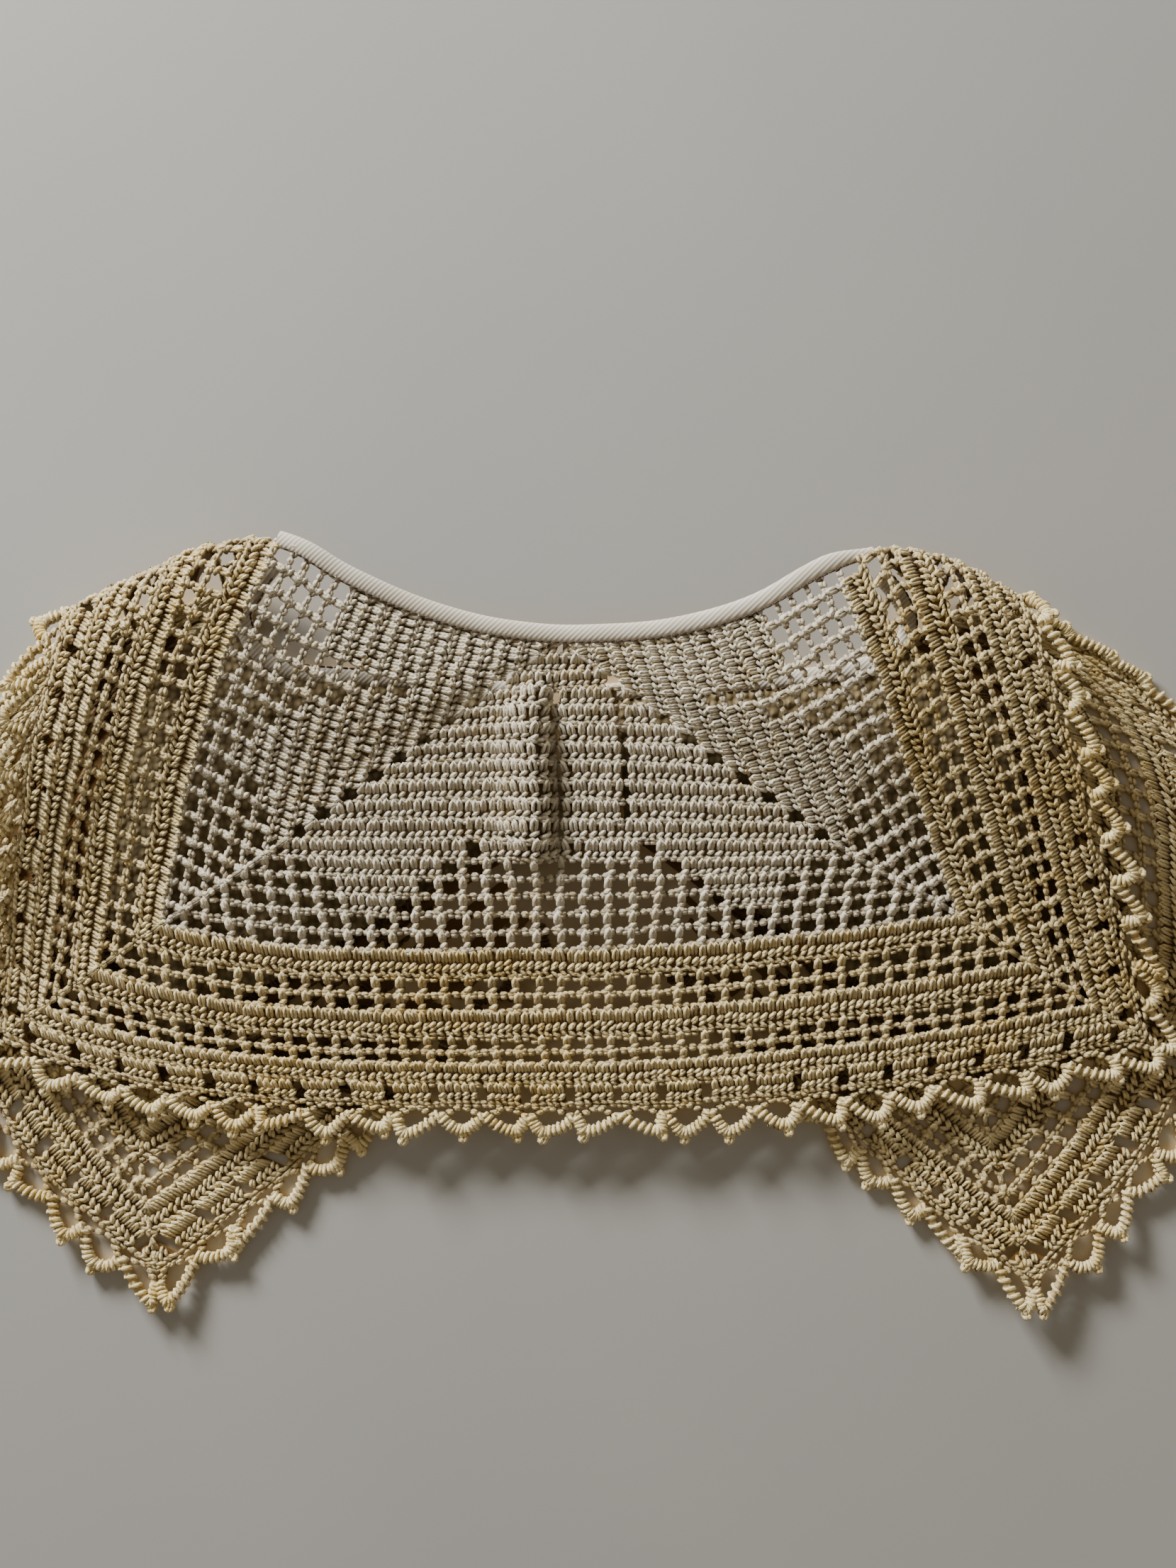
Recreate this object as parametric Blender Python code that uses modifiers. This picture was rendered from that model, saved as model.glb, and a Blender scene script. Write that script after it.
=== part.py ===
"""Filet crochet collar with a bound neck, laid folded on a table, back panel on top.

The collar is a square worked outwards from the middle of the back neck: a white yoke, an
ecru border and a looped edging, with a mitre at each corner. The neck is a slit along the
middle of both shoulder panels. Folded there, the back lies over the two fronts and the
spare cloth rolls over at each shoulder. Metres, +Z up, origin under the middle.
"""
import math

import bpy
import numpy as np

# Stitch sizes
MESH = 0.0072
ROW = 0.00575
YOKE_ROWS = 17
BORDER_ROWS = 26
SEAM = 0.0003
MITRE_GAP = 0.0006

# The border's solid bands stand between these lines, with net at the open ones
BAND_LINES = [18.4, 19.3, 20.15, 21.5, 22.3, 23.0, 24.5]
OPEN_LINES = (19.3, 22.3)

# Cloth thickness: worked solid, and open net
THICK = 0.0023
NET_SHARE = 0.6

# Shoulder roll
ROLL_REACH = 0.020
ROLL_UNDER = 0.012
ROLL_FLOOR = 0.0054
PEAK_ROW = 17.3

# Pleat at the middle of the back
PLEAT_HALF = 2.8
PLEAT_HEIGHT = 0.0055
PLEAT_DEPTH = 0.0036
PLEAT_ROWS = 12.0

# Bias binding
TAPE_WIDTH = 0.0058
TAPE_THICK = 0.0022
BINDING_LIFT = 0.0009

# Where the whole lies about the origin, metres
SHIFT = (0.00265, -0.0031)

MM = 0.001

# Lines of the lay: row of crochet, x, y, height of the underside, all in millimetres
MITRE_LEFT = [(0, -9.1, 89.7, 15), (3, -31.8, 73.0, 15), (7, -62.0, 50.7, 14.5),
              (11, -92.7, 28.4, 13.5), (17, -131.3, 2.5, 10), (21.5, -160.3, -17.2, 6.5),
              (26, -185.1, -34.4, 3.6), (28, -195.4, -42.3, 3.0)]
MITRE_RIGHT = [(0, -9.1, 89.7, 15), (3, 11.7, 74.5, 15), (7, 43.5, 50.1, 14.5),
               (11, 75.3, 27.7, 13.5), (17, 113.8, 5.2, 10.5), (21.5, 145.3, -16.0, 7.5),
               (26, 176.0, -36.0, 4.4), (28, 188.7, -44.3, 3.4)]
NECK_LEFT = [(0, -9.1, 89.5, 15), (4.2, -31.8, 92.4, 16), (8.2, -52.6, 98.3, 18),
             (12.9, -75.3, 108.3, 20.5), (17.3, -95.3, 118.6, 21), (20, -114.9, 117.6, 15),
             (23, -137.1, 108.3, 13), (26, -159.9, 97.9, 12), (28, -174.6, 90.6, 11)]
NECK_RIGHT = [(0, -9.1, 89.5, 15), (6.6, 25.2, 91.7, 17), (12.2, 52.8, 99.6, 20),
              (16.1, 70.2, 109.5, 21.5), (19.5, 88.3, 115.8, 21), (22, 105.4, 114.6, 15),
              (26, 132.5, 101.9, 12), (28, 145.8, 95.4, 11)]
FRONT_MITRE_LEFT = [(0, -12.4, 72.5, 0), (8, -74.5, 26.5, 0), (14, -117.7, -10.6, 0),
                    (17, -134.3, -36.7, 0), (21, -139.8, -69.3, 0), (26, -134.5, -110.2, 1.6),
                    (28, -135.0, -123.0, 2.2)]
FRONT_MITRE_RIGHT = [(0, -5.8, 71.4, 0), (8, 56.3, 26.0, 0), (14, 99.5, -12.8, 0),
                     (17, 117.2, -38.3, 0), (21, 127.0, -72.4, 0.4), (26, 138.0, -111.9, 4.2),
                     (28, 140.4, -124.4, 5.0)]
FRONT_NECK_LEFT = [(0, -12.4, 72.5, 0), (6, -46.8, 75.9, 0), (10, -73.4, 77.6, 0),
                   (13, -96.5, 80.5, 0), (15, -107.5, 89.0, 0), (17, -110.5, 101.5, 0),
                   (20, -120.5, 103.5, 0), (23, -138.0, 99.5, 0), (26, -155.5, 94.5, 0),
                   (28, -163.0, 93.0, 0)]
FRONT_NECK_RIGHT = [(0, -5.8, 71.4, 0), (6, 28.6, 74.8, 0), (10, 55.2, 76.3, 0),
                    (14, 85.1, 80.4, 0), (17, 99.0, 87.0, 0), (19.5, 107.5, 94.0, 0),
                    (22, 118.2, 98.0, 0), (26, 137.0, 98.2, 0), (28, 144.0, 97.5, 0)]
OPENING_LEFT = [(0, -12.4, 72.5, 0), (17, -14.6, 33.0, 0), (26, -15.7, 2.7, 0),
                (28, -8.2, -5.0, 0)]
OPENING_RIGHT = [(0, -5.8, 71.4, 0), (17, 8.0, 36.0, 0), (26, 29.0, -5.0, 0),
                 (28, 22.0, -13.0, 0)]

# How far each row bows outwards between its two ends: row, millimetres
BOW_BACK = [(0, 0.0), (11, 0.0), (17, 9.6), (26, 21.4), (28, 23.2)]
BOW_SIDE_LEFT = [(0, 0.0), (8, 0.5), (17, 5.5), (26, 4.0), (28, 4.0)]
BOW_SIDE_RIGHT = [(0, 0.0), (17, 0.5), (26, 1.0), (28, 1.0)]
BOW_FRONT_SIDE_LEFT = [(0, 0.0), (6, 4.0), (17, 30.0), (26, 59.0), (28, 65.0)]
BOW_FRONT_SIDE_RIGHT = [(0, 0.0), (6, 4.0), (17, 31.0), (26, 62.0), (28, 68.0)]
BOW_FRONT = [(0, 0.0), (17, 0.0), (26, 6.0), (28, 7.0)]

# Heights across the lay: row, millimetres
BACK_MIDDLE = [(0, 15.0), (11, 12.5), (17, 10.0), (26, 7.0), (28, 6.0)]
ROLL_CREST = [(0, 15.3), (8, 18.8), (13, 22.0), (17, 25.0), (20, 25.5), (23, 25.0),
              (26, 23.0), (28, 22.0)]


def lookup(table, row):
    """Every column of a table at the given rows, on a smooth curve through its lines."""
    values = np.array(table, dtype=float)
    keys = values[:, 0]
    columns = values[:, 1:] * MM
    slopes = np.gradient(columns, keys, axis=0)
    row = np.atleast_1d(np.asarray(row, dtype=float))
    place = np.clip(np.searchsorted(keys, row, side="right") - 1, 0, len(keys) - 2)
    span = (keys[place + 1] - keys[place])[:, None]
    share = ((row - keys[place]) / span[:, 0])[:, None]
    before = columns[place] * (2 * share ** 3 - 3 * share ** 2 + 1)
    after = columns[place + 1] * (3 * share ** 2 - 2 * share ** 3)
    leaving = slopes[place] * span * (share ** 3 - 2 * share ** 2 + share)
    arriving = slopes[place + 1] * span * (share ** 3 - share ** 2)
    return before + after + leaving + arriving


def smooth_step(share):
    share = np.clip(share, 0.0, 1.0)
    return share * share * (3.0 - 2.0 * share)


def pleat_height(column, row):
    """The soft ridge left of the back's middle and the deep crease beside it."""
    on_ridge = np.clip((column + PLEAT_HALF) / (PLEAT_HALF - 0.4), 0.0, 1.0)
    ridge = PLEAT_HEIGHT * np.sin(math.pi * on_ridge ** 2.4) ** 0.7
    crease = -PLEAT_DEPTH * np.exp(-((column + 0.12) / 0.38) ** 2)
    fade = smooth_step((PLEAT_ROWS + 1.5 - row) / 3.0) * smooth_step((row - 1.0) / 4.0)
    inside = smooth_step((row - np.abs(column) - 0.7) / 2.0)
    return (ridge + crease) * fade * inside


class Panel:
    """One wedge of the square, between a mitre and its other end, worked in rows."""

    def __init__(self, mitre, end, bow, powers, turn, kind):
        self.mitre = mitre
        self.end = end
        self.bow = bow
        self.powers = powers
        self.turn = turn
        self.kind = kind

    def plan(self, row, share):
        """Points of one row seen from above, with its ends' heights."""
        first = lookup(self.mitre, row)[0]
        last = lookup(self.end, row)[0]
        chord = last - first
        length = max(math.hypot(chord[0], chord[1]), 1e-6)
        outward = np.array([-chord[1], chord[0]]) / length * self.turn
        side = 2.0 * share - 1.0
        power = np.where(side < 0.0, self.powers[0], self.powers[1])
        bow = lookup(self.bow, row)[0, 0] * (1.0 - np.abs(side) ** power)
        flat = first[:2] + chord[:2] * share[:, None] + outward * bow[:, None]
        return flat, first[2], last[2]

    def path(self, row):
        """A row's own line in space and the mesh count at each of its points."""
        share = np.linspace(0.0, 1.0, 81)
        flat, start_z, end_z = self.plan(row, share)
        if self.kind == "back":
            middle = lookup(BACK_MIDDLE, row)[0, 0]
            level = start_z + (end_z - start_z) * share
            height = level + (middle - (start_z + end_z) / 2) * 4 * share * (1 - share)
            column = (2.0 * share - 1.0) * row
            height = height + pleat_height(column, row)
            line = np.column_stack([flat, height])
            return line, share * 2.0 * row
        if self.kind == "front":
            near = np.clip(1.0 - share / 0.4, 0.0, 1.0) ** 2
            far = np.clip((share - 0.75) / 0.25, 0.0, 1.0) ** 2
            height = np.maximum(start_z * near + end_z * far, 0.0)
            line = np.column_stack([flat, height])
            return line, self.meshes(line, row)
        return self.side_path(row, flat, start_z, end_z)

    def side_path(self, row, flat, start_z, end_z):
        """A shoulder row climbs to the roll's crest and, past the neck, turns under it."""
        steps = np.hypot(*np.diff(flat, axis=0).T)
        run = np.concatenate([[0.0], np.cumsum(steps)])
        total = run[-1]
        reach = min(ROLL_REACH, 0.5 * total)
        from_end = total - run
        crest = lookup(ROLL_CREST, row)[0, 0]
        near = np.clip(1.0 - from_end / reach, 0.0, 1.0)
        fullness = 1.0 - 0.5 * smooth_step((row - 15.5) / 3.0)
        rounded = end_z + (crest - end_z) * np.clip(1.0 - near ** 2, 0.0, 1.0) ** fullness
        climb = smooth_step(run / max(total - reach, 1e-6))
        height = np.where(from_end < reach, rounded, start_z + (crest - start_z) * climb)
        line = np.column_stack([flat, height])
        if row > self.peak_row():
            line = np.vstack([line, self.under(row, line[-1])])
        return line, self.meshes(line, row)

    def peak_row(self):
        return PEAK_ROW if self.turn > 0 else PEAK_ROW + 2.2

    def under(self, row, edge):
        """The quarter turn below the roll, back towards the cloth's middle."""
        along = lookup(self.end, row + 0.5)[0] - lookup(self.end, row - 0.5)[0]
        inward = np.array([-along[1], along[0]]) / math.hypot(along[0], along[1])
        if inward[1] > 0.0:
            inward = -inward
        angle = np.linspace(0.0, math.pi / 2, 13)[1:]
        depth = smooth_step((row - self.peak_row()) / 3.0) * 0.85 + 0.15
        reach = ROLL_UNDER * depth * (1.0 - np.cos(angle))
        drop = (edge[2] - ROLL_FLOOR) * depth * np.sin(angle)
        return np.column_stack([edge[0] + inward[0] * reach, edge[1] + inward[1] * reach,
                                edge[2] - drop])

    def meshes(self, line, row):
        """Mesh count from the mitre at each point: a row of the yoke has as many as rows."""
        steps = np.linalg.norm(np.diff(line, axis=0), axis=1)
        run = np.concatenate([[0.0], np.cumsum(steps)])
        if row <= YOKE_ROWS:
            return run / run[-1] * row
        settle = smooth_step((row - YOKE_ROWS) / 3.0)
        yoke_line, yoke_count = self.path(float(YOKE_ROWS))
        yoke_steps = np.linalg.norm(np.diff(yoke_line, axis=0), axis=1)
        yoke_pitch = yoke_steps.sum() / yoke_count[-1]
        return run / (yoke_pitch + (MESH - yoke_pitch) * settle)

    def at_count(self, count, row):
        """Points of a row at the given mesh counts from the mitre."""
        line, counts = self.path(row)
        return np.column_stack([np.interp(count, counts, line[:, axis]) for axis in range(3)])

    def at_share(self, share, row):
        """Points of a row at the given shares of its own length in meshes."""
        line, counts = self.path(row)
        count = np.asarray(share) * counts[-1]
        return np.column_stack([np.interp(count, counts, line[:, axis]) for axis in range(3)])


def on_chords(panel, row, columns, share):
    """Points of a row on the straight runs between a border's own column points."""
    marks = np.linspace(0.0, 1.0, columns + 1)
    points = panel.at_share(marks, row)
    return np.column_stack([np.interp(share, marks, points[:, axis]) for axis in range(3)])


BACK = Panel(MITRE_LEFT, MITRE_RIGHT, BOW_BACK, (4.0, 1.8), -1, "back")
SIDE_LEFT = Panel(MITRE_LEFT, NECK_LEFT, BOW_SIDE_LEFT, (2.0, 2.0), 1, "side")
SIDE_RIGHT = Panel(MITRE_RIGHT, NECK_RIGHT, BOW_SIDE_RIGHT, (2.0, 2.0), -1, "side")
FRONT_SIDE_LEFT = Panel(FRONT_MITRE_LEFT, FRONT_NECK_LEFT, BOW_FRONT_SIDE_LEFT, (2.0, 2.9),
                        1, "front")
FRONT_SIDE_RIGHT = Panel(FRONT_MITRE_RIGHT, FRONT_NECK_RIGHT, BOW_FRONT_SIDE_RIGHT,
                         (1.9, 3.6), -1, "front")
FRONT_LEFT = Panel(FRONT_MITRE_LEFT, OPENING_LEFT, BOW_FRONT, (2.0, 2.0), -1, "front")
FRONT_RIGHT = Panel(FRONT_MITRE_RIGHT, OPENING_RIGHT, BOW_FRONT, (2.0, 2.0), 1, "front")


def petal(column, row):
    """True where the leaf beside a mitre is worked solid."""
    column = abs(column)
    if row <= 11:
        return column <= row - 0.5
    left = 11.5 - 0.9 * (row - 11)
    right = 3.5 + 1.1 * (row - 11)
    return right <= column <= left


def worked_solid(column, row, kind):
    """True for solid crochet, false for net."""
    if row > YOKE_ROWS - 0.5:
        return row not in OPEN_LINES
    if kind == "back":
        return petal(column, row) or (abs(column) <= PLEAT_HALF and row <= PLEAT_ROWS)
    if row <= 12 and abs(column) <= 3:
        return True
    return petal(column, row) and not (row > 7 and abs(column) < 4.5)


class Sheet:
    """Points, faces and thickness of one open surface before it gets its wall."""

    def __init__(self):
        self.points = []
        self.faces = []
        self.solid = []

    def add(self, points, solid):
        first = len(self.points)
        self.points.extend(points)
        self.solid.extend(solid)
        return list(range(first, first + len(points)))

    def face(self, corners, turn):
        self.faces.append(tuple(corners) if turn > 0 else tuple(reversed(corners)))

    def framed_hole(self, corners, turn, share):
        """A ring of four faces round a hole in the middle of one mesh."""
        ring = [np.array(self.points[i]) for i in corners]
        centre = sum(ring) / 4.0
        inner = self.add([tuple(centre + (point - centre) * share) for point in ring],
                         [self.solid[i] for i in corners])
        for k in range(4):
            n = (k + 1) % 4
            self.face([corners[k], corners[n], inner[n], inner[k]], turn)


def set_material(obj, name, colour, roughness):
    material = bpy.data.materials.new(name)
    material.use_nodes = True
    shader = material.node_tree.nodes["Principled BSDF"]
    shader.inputs["Base Color"].default_value = (*colour, 1.0)
    shader.inputs["Roughness"].default_value = roughness
    shader.inputs["Metallic"].default_value = 0.0
    obj.data.materials.append(material)


def finish_object(name, points, faces, colour, roughness):
    mesh = bpy.data.meshes.new(name)
    mesh.from_pydata([(p[0] + SHIFT[0], p[1] + SHIFT[1], p[2]) for p in points], [], faces)
    mesh.validate()
    mesh.shade_smooth()
    obj = bpy.data.objects.new(name, mesh)
    COLLECTION.objects.link(obj)
    set_material(obj, name + "_cotton", colour, roughness)
    return obj


def finish_sheet(name, sheet, colour):
    """Give the surface its wall: raised bands outside over a plain inside."""
    obj = finish_object(name, sheet.points, sheet.faces, colour, 0.85)
    group = obj.vertex_groups.new(name="worked_solid")
    for index, solid in enumerate(sheet.solid):
        group.add([index], 1.0 if solid else 0.0, "REPLACE")
    wall = obj.modifiers.new("wall", "SOLIDIFY")
    wall.thickness = THICK
    wall.offset = 1.0
    wall.use_even_offset = False
    wall.vertex_group = group.name
    wall.thickness_vertex_group = NET_SHARE
    return obj


def yoke_columns(row, kind):
    """Post lines of one row, finer over the pleat."""
    if kind == "back":
        whole = [float(c) for c in range(-int(row), int(row) + 1)]
        halves = [c + 0.5 for c in range(-3, 3) if abs(c + 0.5) < row]
        return sorted(whole + halves)
    return [float(c) for c in range(-int(row), 1)]


def hole_share(column, row, kind):
    """Size of the hole in one mesh, nought where the mesh stays closed."""
    if kind == "back" and 3 <= row <= 10 and column == 2.5:
        return 0.78
    if kind == "side" and 7 <= row <= 11 and column == -4:
        return 0.66
    if kind == "side" and 12 <= row < YOKE_ROWS and -5 <= column < -1:
        return 0.66
    return 0.0


def make_yoke(name, panel, colour):
    """A wedge of the white yoke on its own lattice, one mesh wider at a mitre each row."""
    sheet = Sheet()
    rows = list(range(1, YOKE_ROWS + 1))
    lines = []
    for row in rows:
        columns = yoke_columns(row, panel.kind)
        count = np.array(columns) + row
        inset = MITRE_GAP / 2 / MESH * (2.0 if row <= 4 else 1.0)
        top = 2.0 * row - inset if panel.kind == "back" else float(row) - inset
        count = np.clip(count, inset, top)
        level = row - (SEAM / 2 / ROW if row == YOKE_ROWS else 0.0)
        points = panel.at_count(count, level)
        solid = [worked_solid(c, row, panel.kind) for c in columns]
        lines.append(dict(zip(columns, sheet.add([tuple(p) for p in points], solid))))
    apex = sheet.add([tuple(panel.at_share([0.5], 0.3)[0])], [True])[0]
    first = [lines[0][column] for column in sorted(lines[0])]
    for low, high in zip(first, first[1:]):
        sheet.face([apex, high, low], panel.turn)
    for row, upper, lower in zip(rows, lines, lines[1:]):
        shared = sorted(upper)
        for left, right in zip(shared, shared[1:]):
            corners = [upper[left], upper[right], lower[right], lower[left]]
            share = hole_share(left, row, panel.kind)
            if share:
                sheet.framed_hole(corners, panel.turn, share)
            else:
                sheet.face(corners, panel.turn)
        new_low = sorted(c for c in lower if c < shared[0]) + [shared[0]]
        new_high = [shared[-1]] + sorted(c for c in lower if c > shared[-1])
        eyelet = panel.kind == "back" and 3 <= row <= 10
        if eyelet:
            continue
        for low, high in zip(new_low, new_low[1:]):
            sheet.face([upper[shared[0]], lower[high], lower[low]], panel.turn)
        for low, high in zip(new_high, new_high[1:]):
            sheet.face([upper[shared[-1]], lower[high], lower[low]], panel.turn)
    return finish_sheet(name, sheet, colour)


def strip(sheet, panel, rows, columns, ends):
    """A grid of a panel between two rows, with as many columns on every row."""
    grid = []
    for row in rows:
        counts = panel.path(row)[1][-1]
        inset = MITRE_GAP / 2 / MESH / counts
        share = np.linspace(inset * ends[0], 1.0 - inset * ends[1], columns + 1)
        points = panel.at_share(share, row)
        solid = [worked_solid(0.0, row, "border")] * (columns + 1)
        if row < YOKE_ROWS:
            solid = [worked_solid(s * counts - row, row, "side") for s in share]
        grid.append(sheet.add([tuple(p) for p in points], solid))
    for upper, lower in zip(grid, grid[1:]):
        for k in range(columns):
            sheet.face([upper[k], upper[k + 1], lower[k + 1], lower[k]], panel.turn)
    return grid


def band_rows():
    """Row lines of the border, 0.3 mm clear of the yoke and of the edging."""
    gap = SEAM / 2 / ROW
    return [YOKE_ROWS + gap] + BAND_LINES + [BORDER_ROWS - gap]


def make_border(name, panel, columns, colour):
    sheet = Sheet()
    strip(sheet, panel, band_rows(), columns, (1, 1))
    return finish_sheet(name, sheet, colour)


def make_front(name, side_panel, front_panel, rows, columns, colour):
    """One front: the under half of a shoulder panel and half the front panel, one piece."""
    sheet = Sheet()
    side_grid = strip(sheet, side_panel, rows, columns[0], (0, 1))
    front_grid = strip(sheet, front_panel, rows, columns[1], (0, 1))
    merge = {b[0]: a[0] for a, b in zip(side_grid, front_grid)}
    sheet.faces = [tuple(merge.get(i, i) for i in face) for face in sheet.faces]
    used = sorted({i for face in sheet.faces for i in face})
    renumber = {old: new for new, old in enumerate(used)}
    sheet.points = [sheet.points[i] for i in used]
    sheet.solid = [sheet.solid[i] for i in used]
    sheet.faces = [tuple(renumber[i] for i in face) for face in sheet.faces]
    return finish_sheet(name, sheet, colour)


# One loop of the edging: place along it in meshes, inner and outer row of its cord
LOOP_STEPS = [(0.0, 0.45, 0.75), (0.5, 0.85, 1.35), (1.0, 1.15, 1.75), (1.5, 0.85, 1.35)]
PLAIN_STEPS = [(0.0, 0.45, 0.75), (1.0, 1.0, 1.6)]
CHAIN_ROWS = 0.4


def make_edging(name, runs, colour):
    """A chain along the border's edge with a loop of cord every two meshes.

    Each run is a panel, its border's columns, and whether its loops are open. Two runs of
    one piece start at the mitre they share.
    """
    sheet = Sheet()
    shared = None
    for panel, border_columns, is_open in runs:
        loops = max(1, round(panel.path(BORDER_ROWS)[1][-1] / 2.0))
        steps = LOOP_STEPS if is_open else PLAIN_STEPS
        stations = [((k + step[0] / 2.0) / loops, step) for k in range(loops) for step in steps]
        stations.append((1.0, steps[0]))
        columns = []
        for share, (_, inner, outer) in stations:
            if share == 0.0 and shared is not None:
                columns.append(shared)
                continue
            low = 0.0 if len(runs) > 1 else 0.0007
            share = min(max(share, low), 0.9993)
            depths = (SEAM / 2 / ROW, CHAIN_ROWS, inner, outer)
            if not is_open:
                depths = (SEAM / 2 / ROW, CHAIN_ROWS, outer)
            column = []
            for depth in depths:
                row = BORDER_ROWS + depth
                if depth <= CHAIN_ROWS:
                    point = on_chords(panel, row, border_columns, [share])[0]
                else:
                    point = panel.at_share([share], row)[0]
                column += sheet.add([tuple(point)], [depth > CHAIN_ROWS])
            columns.append(column)
        shared = columns[0]
        loop_faces(sheet, columns, is_open, panel.turn)
    return finish_sheet(name, sheet, colour)


def loop_faces(sheet, columns, is_open, turn):
    """Faces between the stations of an edging, with an opening left in each loop."""
    for index, (one, two) in enumerate(zip(columns, columns[1:])):
        if len(one) > len(two):
            sheet.face([one[0], two[0], two[1], one[1]], turn)
            sheet.face([one[1], two[1], two[2], one[3], one[2]], turn)
            continue
        for layer in range(len(one) - 1):
            if is_open and layer == 1 and index % 4 in (1, 2):
                continue
            sheet.face([one[layer], two[layer], two[layer + 1], one[layer + 1]], turn)


def tape(name, centre):
    """A folded tape lofted along its middle line, rounded at the fold."""
    half = TAPE_WIDTH / 2
    thin = TAPE_THICK / 2
    section = [(half, 0.0), (half * 0.7, thin), (-half * 0.8, thin), (-half, 0.0),
               (-half * 0.8, -thin), (half * 0.7, -thin)]
    points = []
    faces = []
    for middle, along in zip(centre, np.gradient(centre, axis=0)):
        along = along / np.linalg.norm(along)
        across = np.array([-along[1], along[0], 0.0])
        across = across / np.linalg.norm(across)
        up = np.cross(along, across)
        for a, b in section:
            points.append(tuple(middle + across * a + up * b))
    count = len(section)
    last = len(points) - count
    for ring in range(0, last, count):
        for k in range(count):
            n = (k + 1) % count
            faces.append((ring + k, ring + n, ring + count + n, ring + count + k))
    faces.append(tuple(reversed(range(count))))
    faces.append(tuple(range(last, last + count)))
    return finish_object(name, points, faces, BINDING, 0.7)


def neck_line(table, rows, lift):
    """The middle line of the binding, beside a neck line on the opening's side."""
    line = lookup(table, np.array(rows))
    along = np.gradient(line, axis=0)
    across = np.column_stack([-along[:, 1], along[:, 0], np.zeros(len(along))])
    across /= np.linalg.norm(across, axis=1)[:, None]
    if across[0, 1] < 0.0:
        across = -across
    centre = line + across * (TAPE_WIDTH / 2 + SEAM)
    centre[:, 2] += lift
    return centre


# The binding's way down inside each shoulder: x, y, height of its middle, millimetres
DESCENT_LEFT = [(-105.2, 102.0, 2.6), (-103.0, 106.5, 6.0), (-99.5, 110.5, 10.0),
                (-95.5, 113.5, 13.5)]
DESCENT_RIGHT = [(100.5, 95.5, 2.6), (97.5, 101.0, 6.5), (93.5, 106.0, 10.5),
                 (89.0, 109.5, 14.0)]

# Row lines the two hidden front yokes are worked out at
FRONT_STEPS = [1.0, 3.5, 6.0, 8.0, 10.0, 12.0, 13.0, 14.0, 15.0, 16.0, 16.974]


def make_bindings():
    rows = [0.7] + list(range(1, 17))
    left = neck_line(NECK_LEFT, [17.1] + rows[::-1], BINDING_LIFT)
    right = neck_line(NECK_RIGHT, rows + [17, 18.2, 19.3], BINDING_LIFT)
    tape("neck_binding_back", np.vstack([left, right]))
    for name, table, descent in (
            ("neck_binding_left_front", FRONT_NECK_LEFT, DESCENT_LEFT),
            ("neck_binding_right_front", FRONT_NECK_RIGHT, DESCENT_RIGHT)):
        line = neck_line(table, FRONT_STEPS, TAPE_THICK / 2 + 0.0002)
        tape(name, np.vstack([line, np.array(descent) * MM]))


def remove_start_scene():
    for obj in list(bpy.data.objects):
        bpy.data.objects.remove(obj, do_unlink=True)


WHITE = (0.78, 0.74, 0.66)
ECRU = (0.74, 0.64, 0.47)
BINDING = (0.80, 0.76, 0.66)

# Columns of each border's grid
BACK_COLUMNS = 22
SHOULDER_COLUMNS = 15
UNDER_SHOULDER_COLUMNS = 12
UNDER_FRONT_COLUMNS = 8

remove_start_scene()
COLLECTION = bpy.data.collections.new("lace_collar")
bpy.context.scene.collection.children.link(COLLECTION)

make_yoke("back_yoke", BACK, WHITE)
make_yoke("left_shoulder_yoke", SIDE_LEFT, WHITE)
make_yoke("right_shoulder_yoke", SIDE_RIGHT, WHITE)
make_border("back_border", BACK, BACK_COLUMNS, ECRU)
make_border("left_shoulder_border", SIDE_LEFT, SHOULDER_COLUMNS, ECRU)
make_border("right_shoulder_border", SIDE_RIGHT, SHOULDER_COLUMNS, ECRU)
make_bindings()
make_edging("back_edging", [(BACK, BACK_COLUMNS, True)], ECRU)
make_edging("left_shoulder_edging", [(SIDE_LEFT, SHOULDER_COLUMNS, True)], ECRU)
make_edging("right_shoulder_edging", [(SIDE_RIGHT, SHOULDER_COLUMNS, True)], ECRU)

UNDER_COLUMNS = (UNDER_SHOULDER_COLUMNS, UNDER_FRONT_COLUMNS)
for side, side_panel, front_panel in (("left", FRONT_SIDE_LEFT, FRONT_LEFT),
                                      ("right", FRONT_SIDE_RIGHT, FRONT_RIGHT)):
    make_front(side + "_front_yoke", side_panel, front_panel, FRONT_STEPS, UNDER_COLUMNS, WHITE)
    make_front(side + "_front_border", side_panel, front_panel, band_rows(), UNDER_COLUMNS,
               ECRU)
    make_edging(side + "_front_edging", [(side_panel, UNDER_SHOULDER_COLUMNS, True),
                                         (front_panel, UNDER_FRONT_COLUMNS, False)], ECRU)
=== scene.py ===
"""Filet crochet collar, folded on a table with the back on top.

White yoke, ecru border and looped edging, all worked stitch by stitch in yarn that is
carried on the lay of each panel, and a bias binding round the neck.
"""
import math

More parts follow.
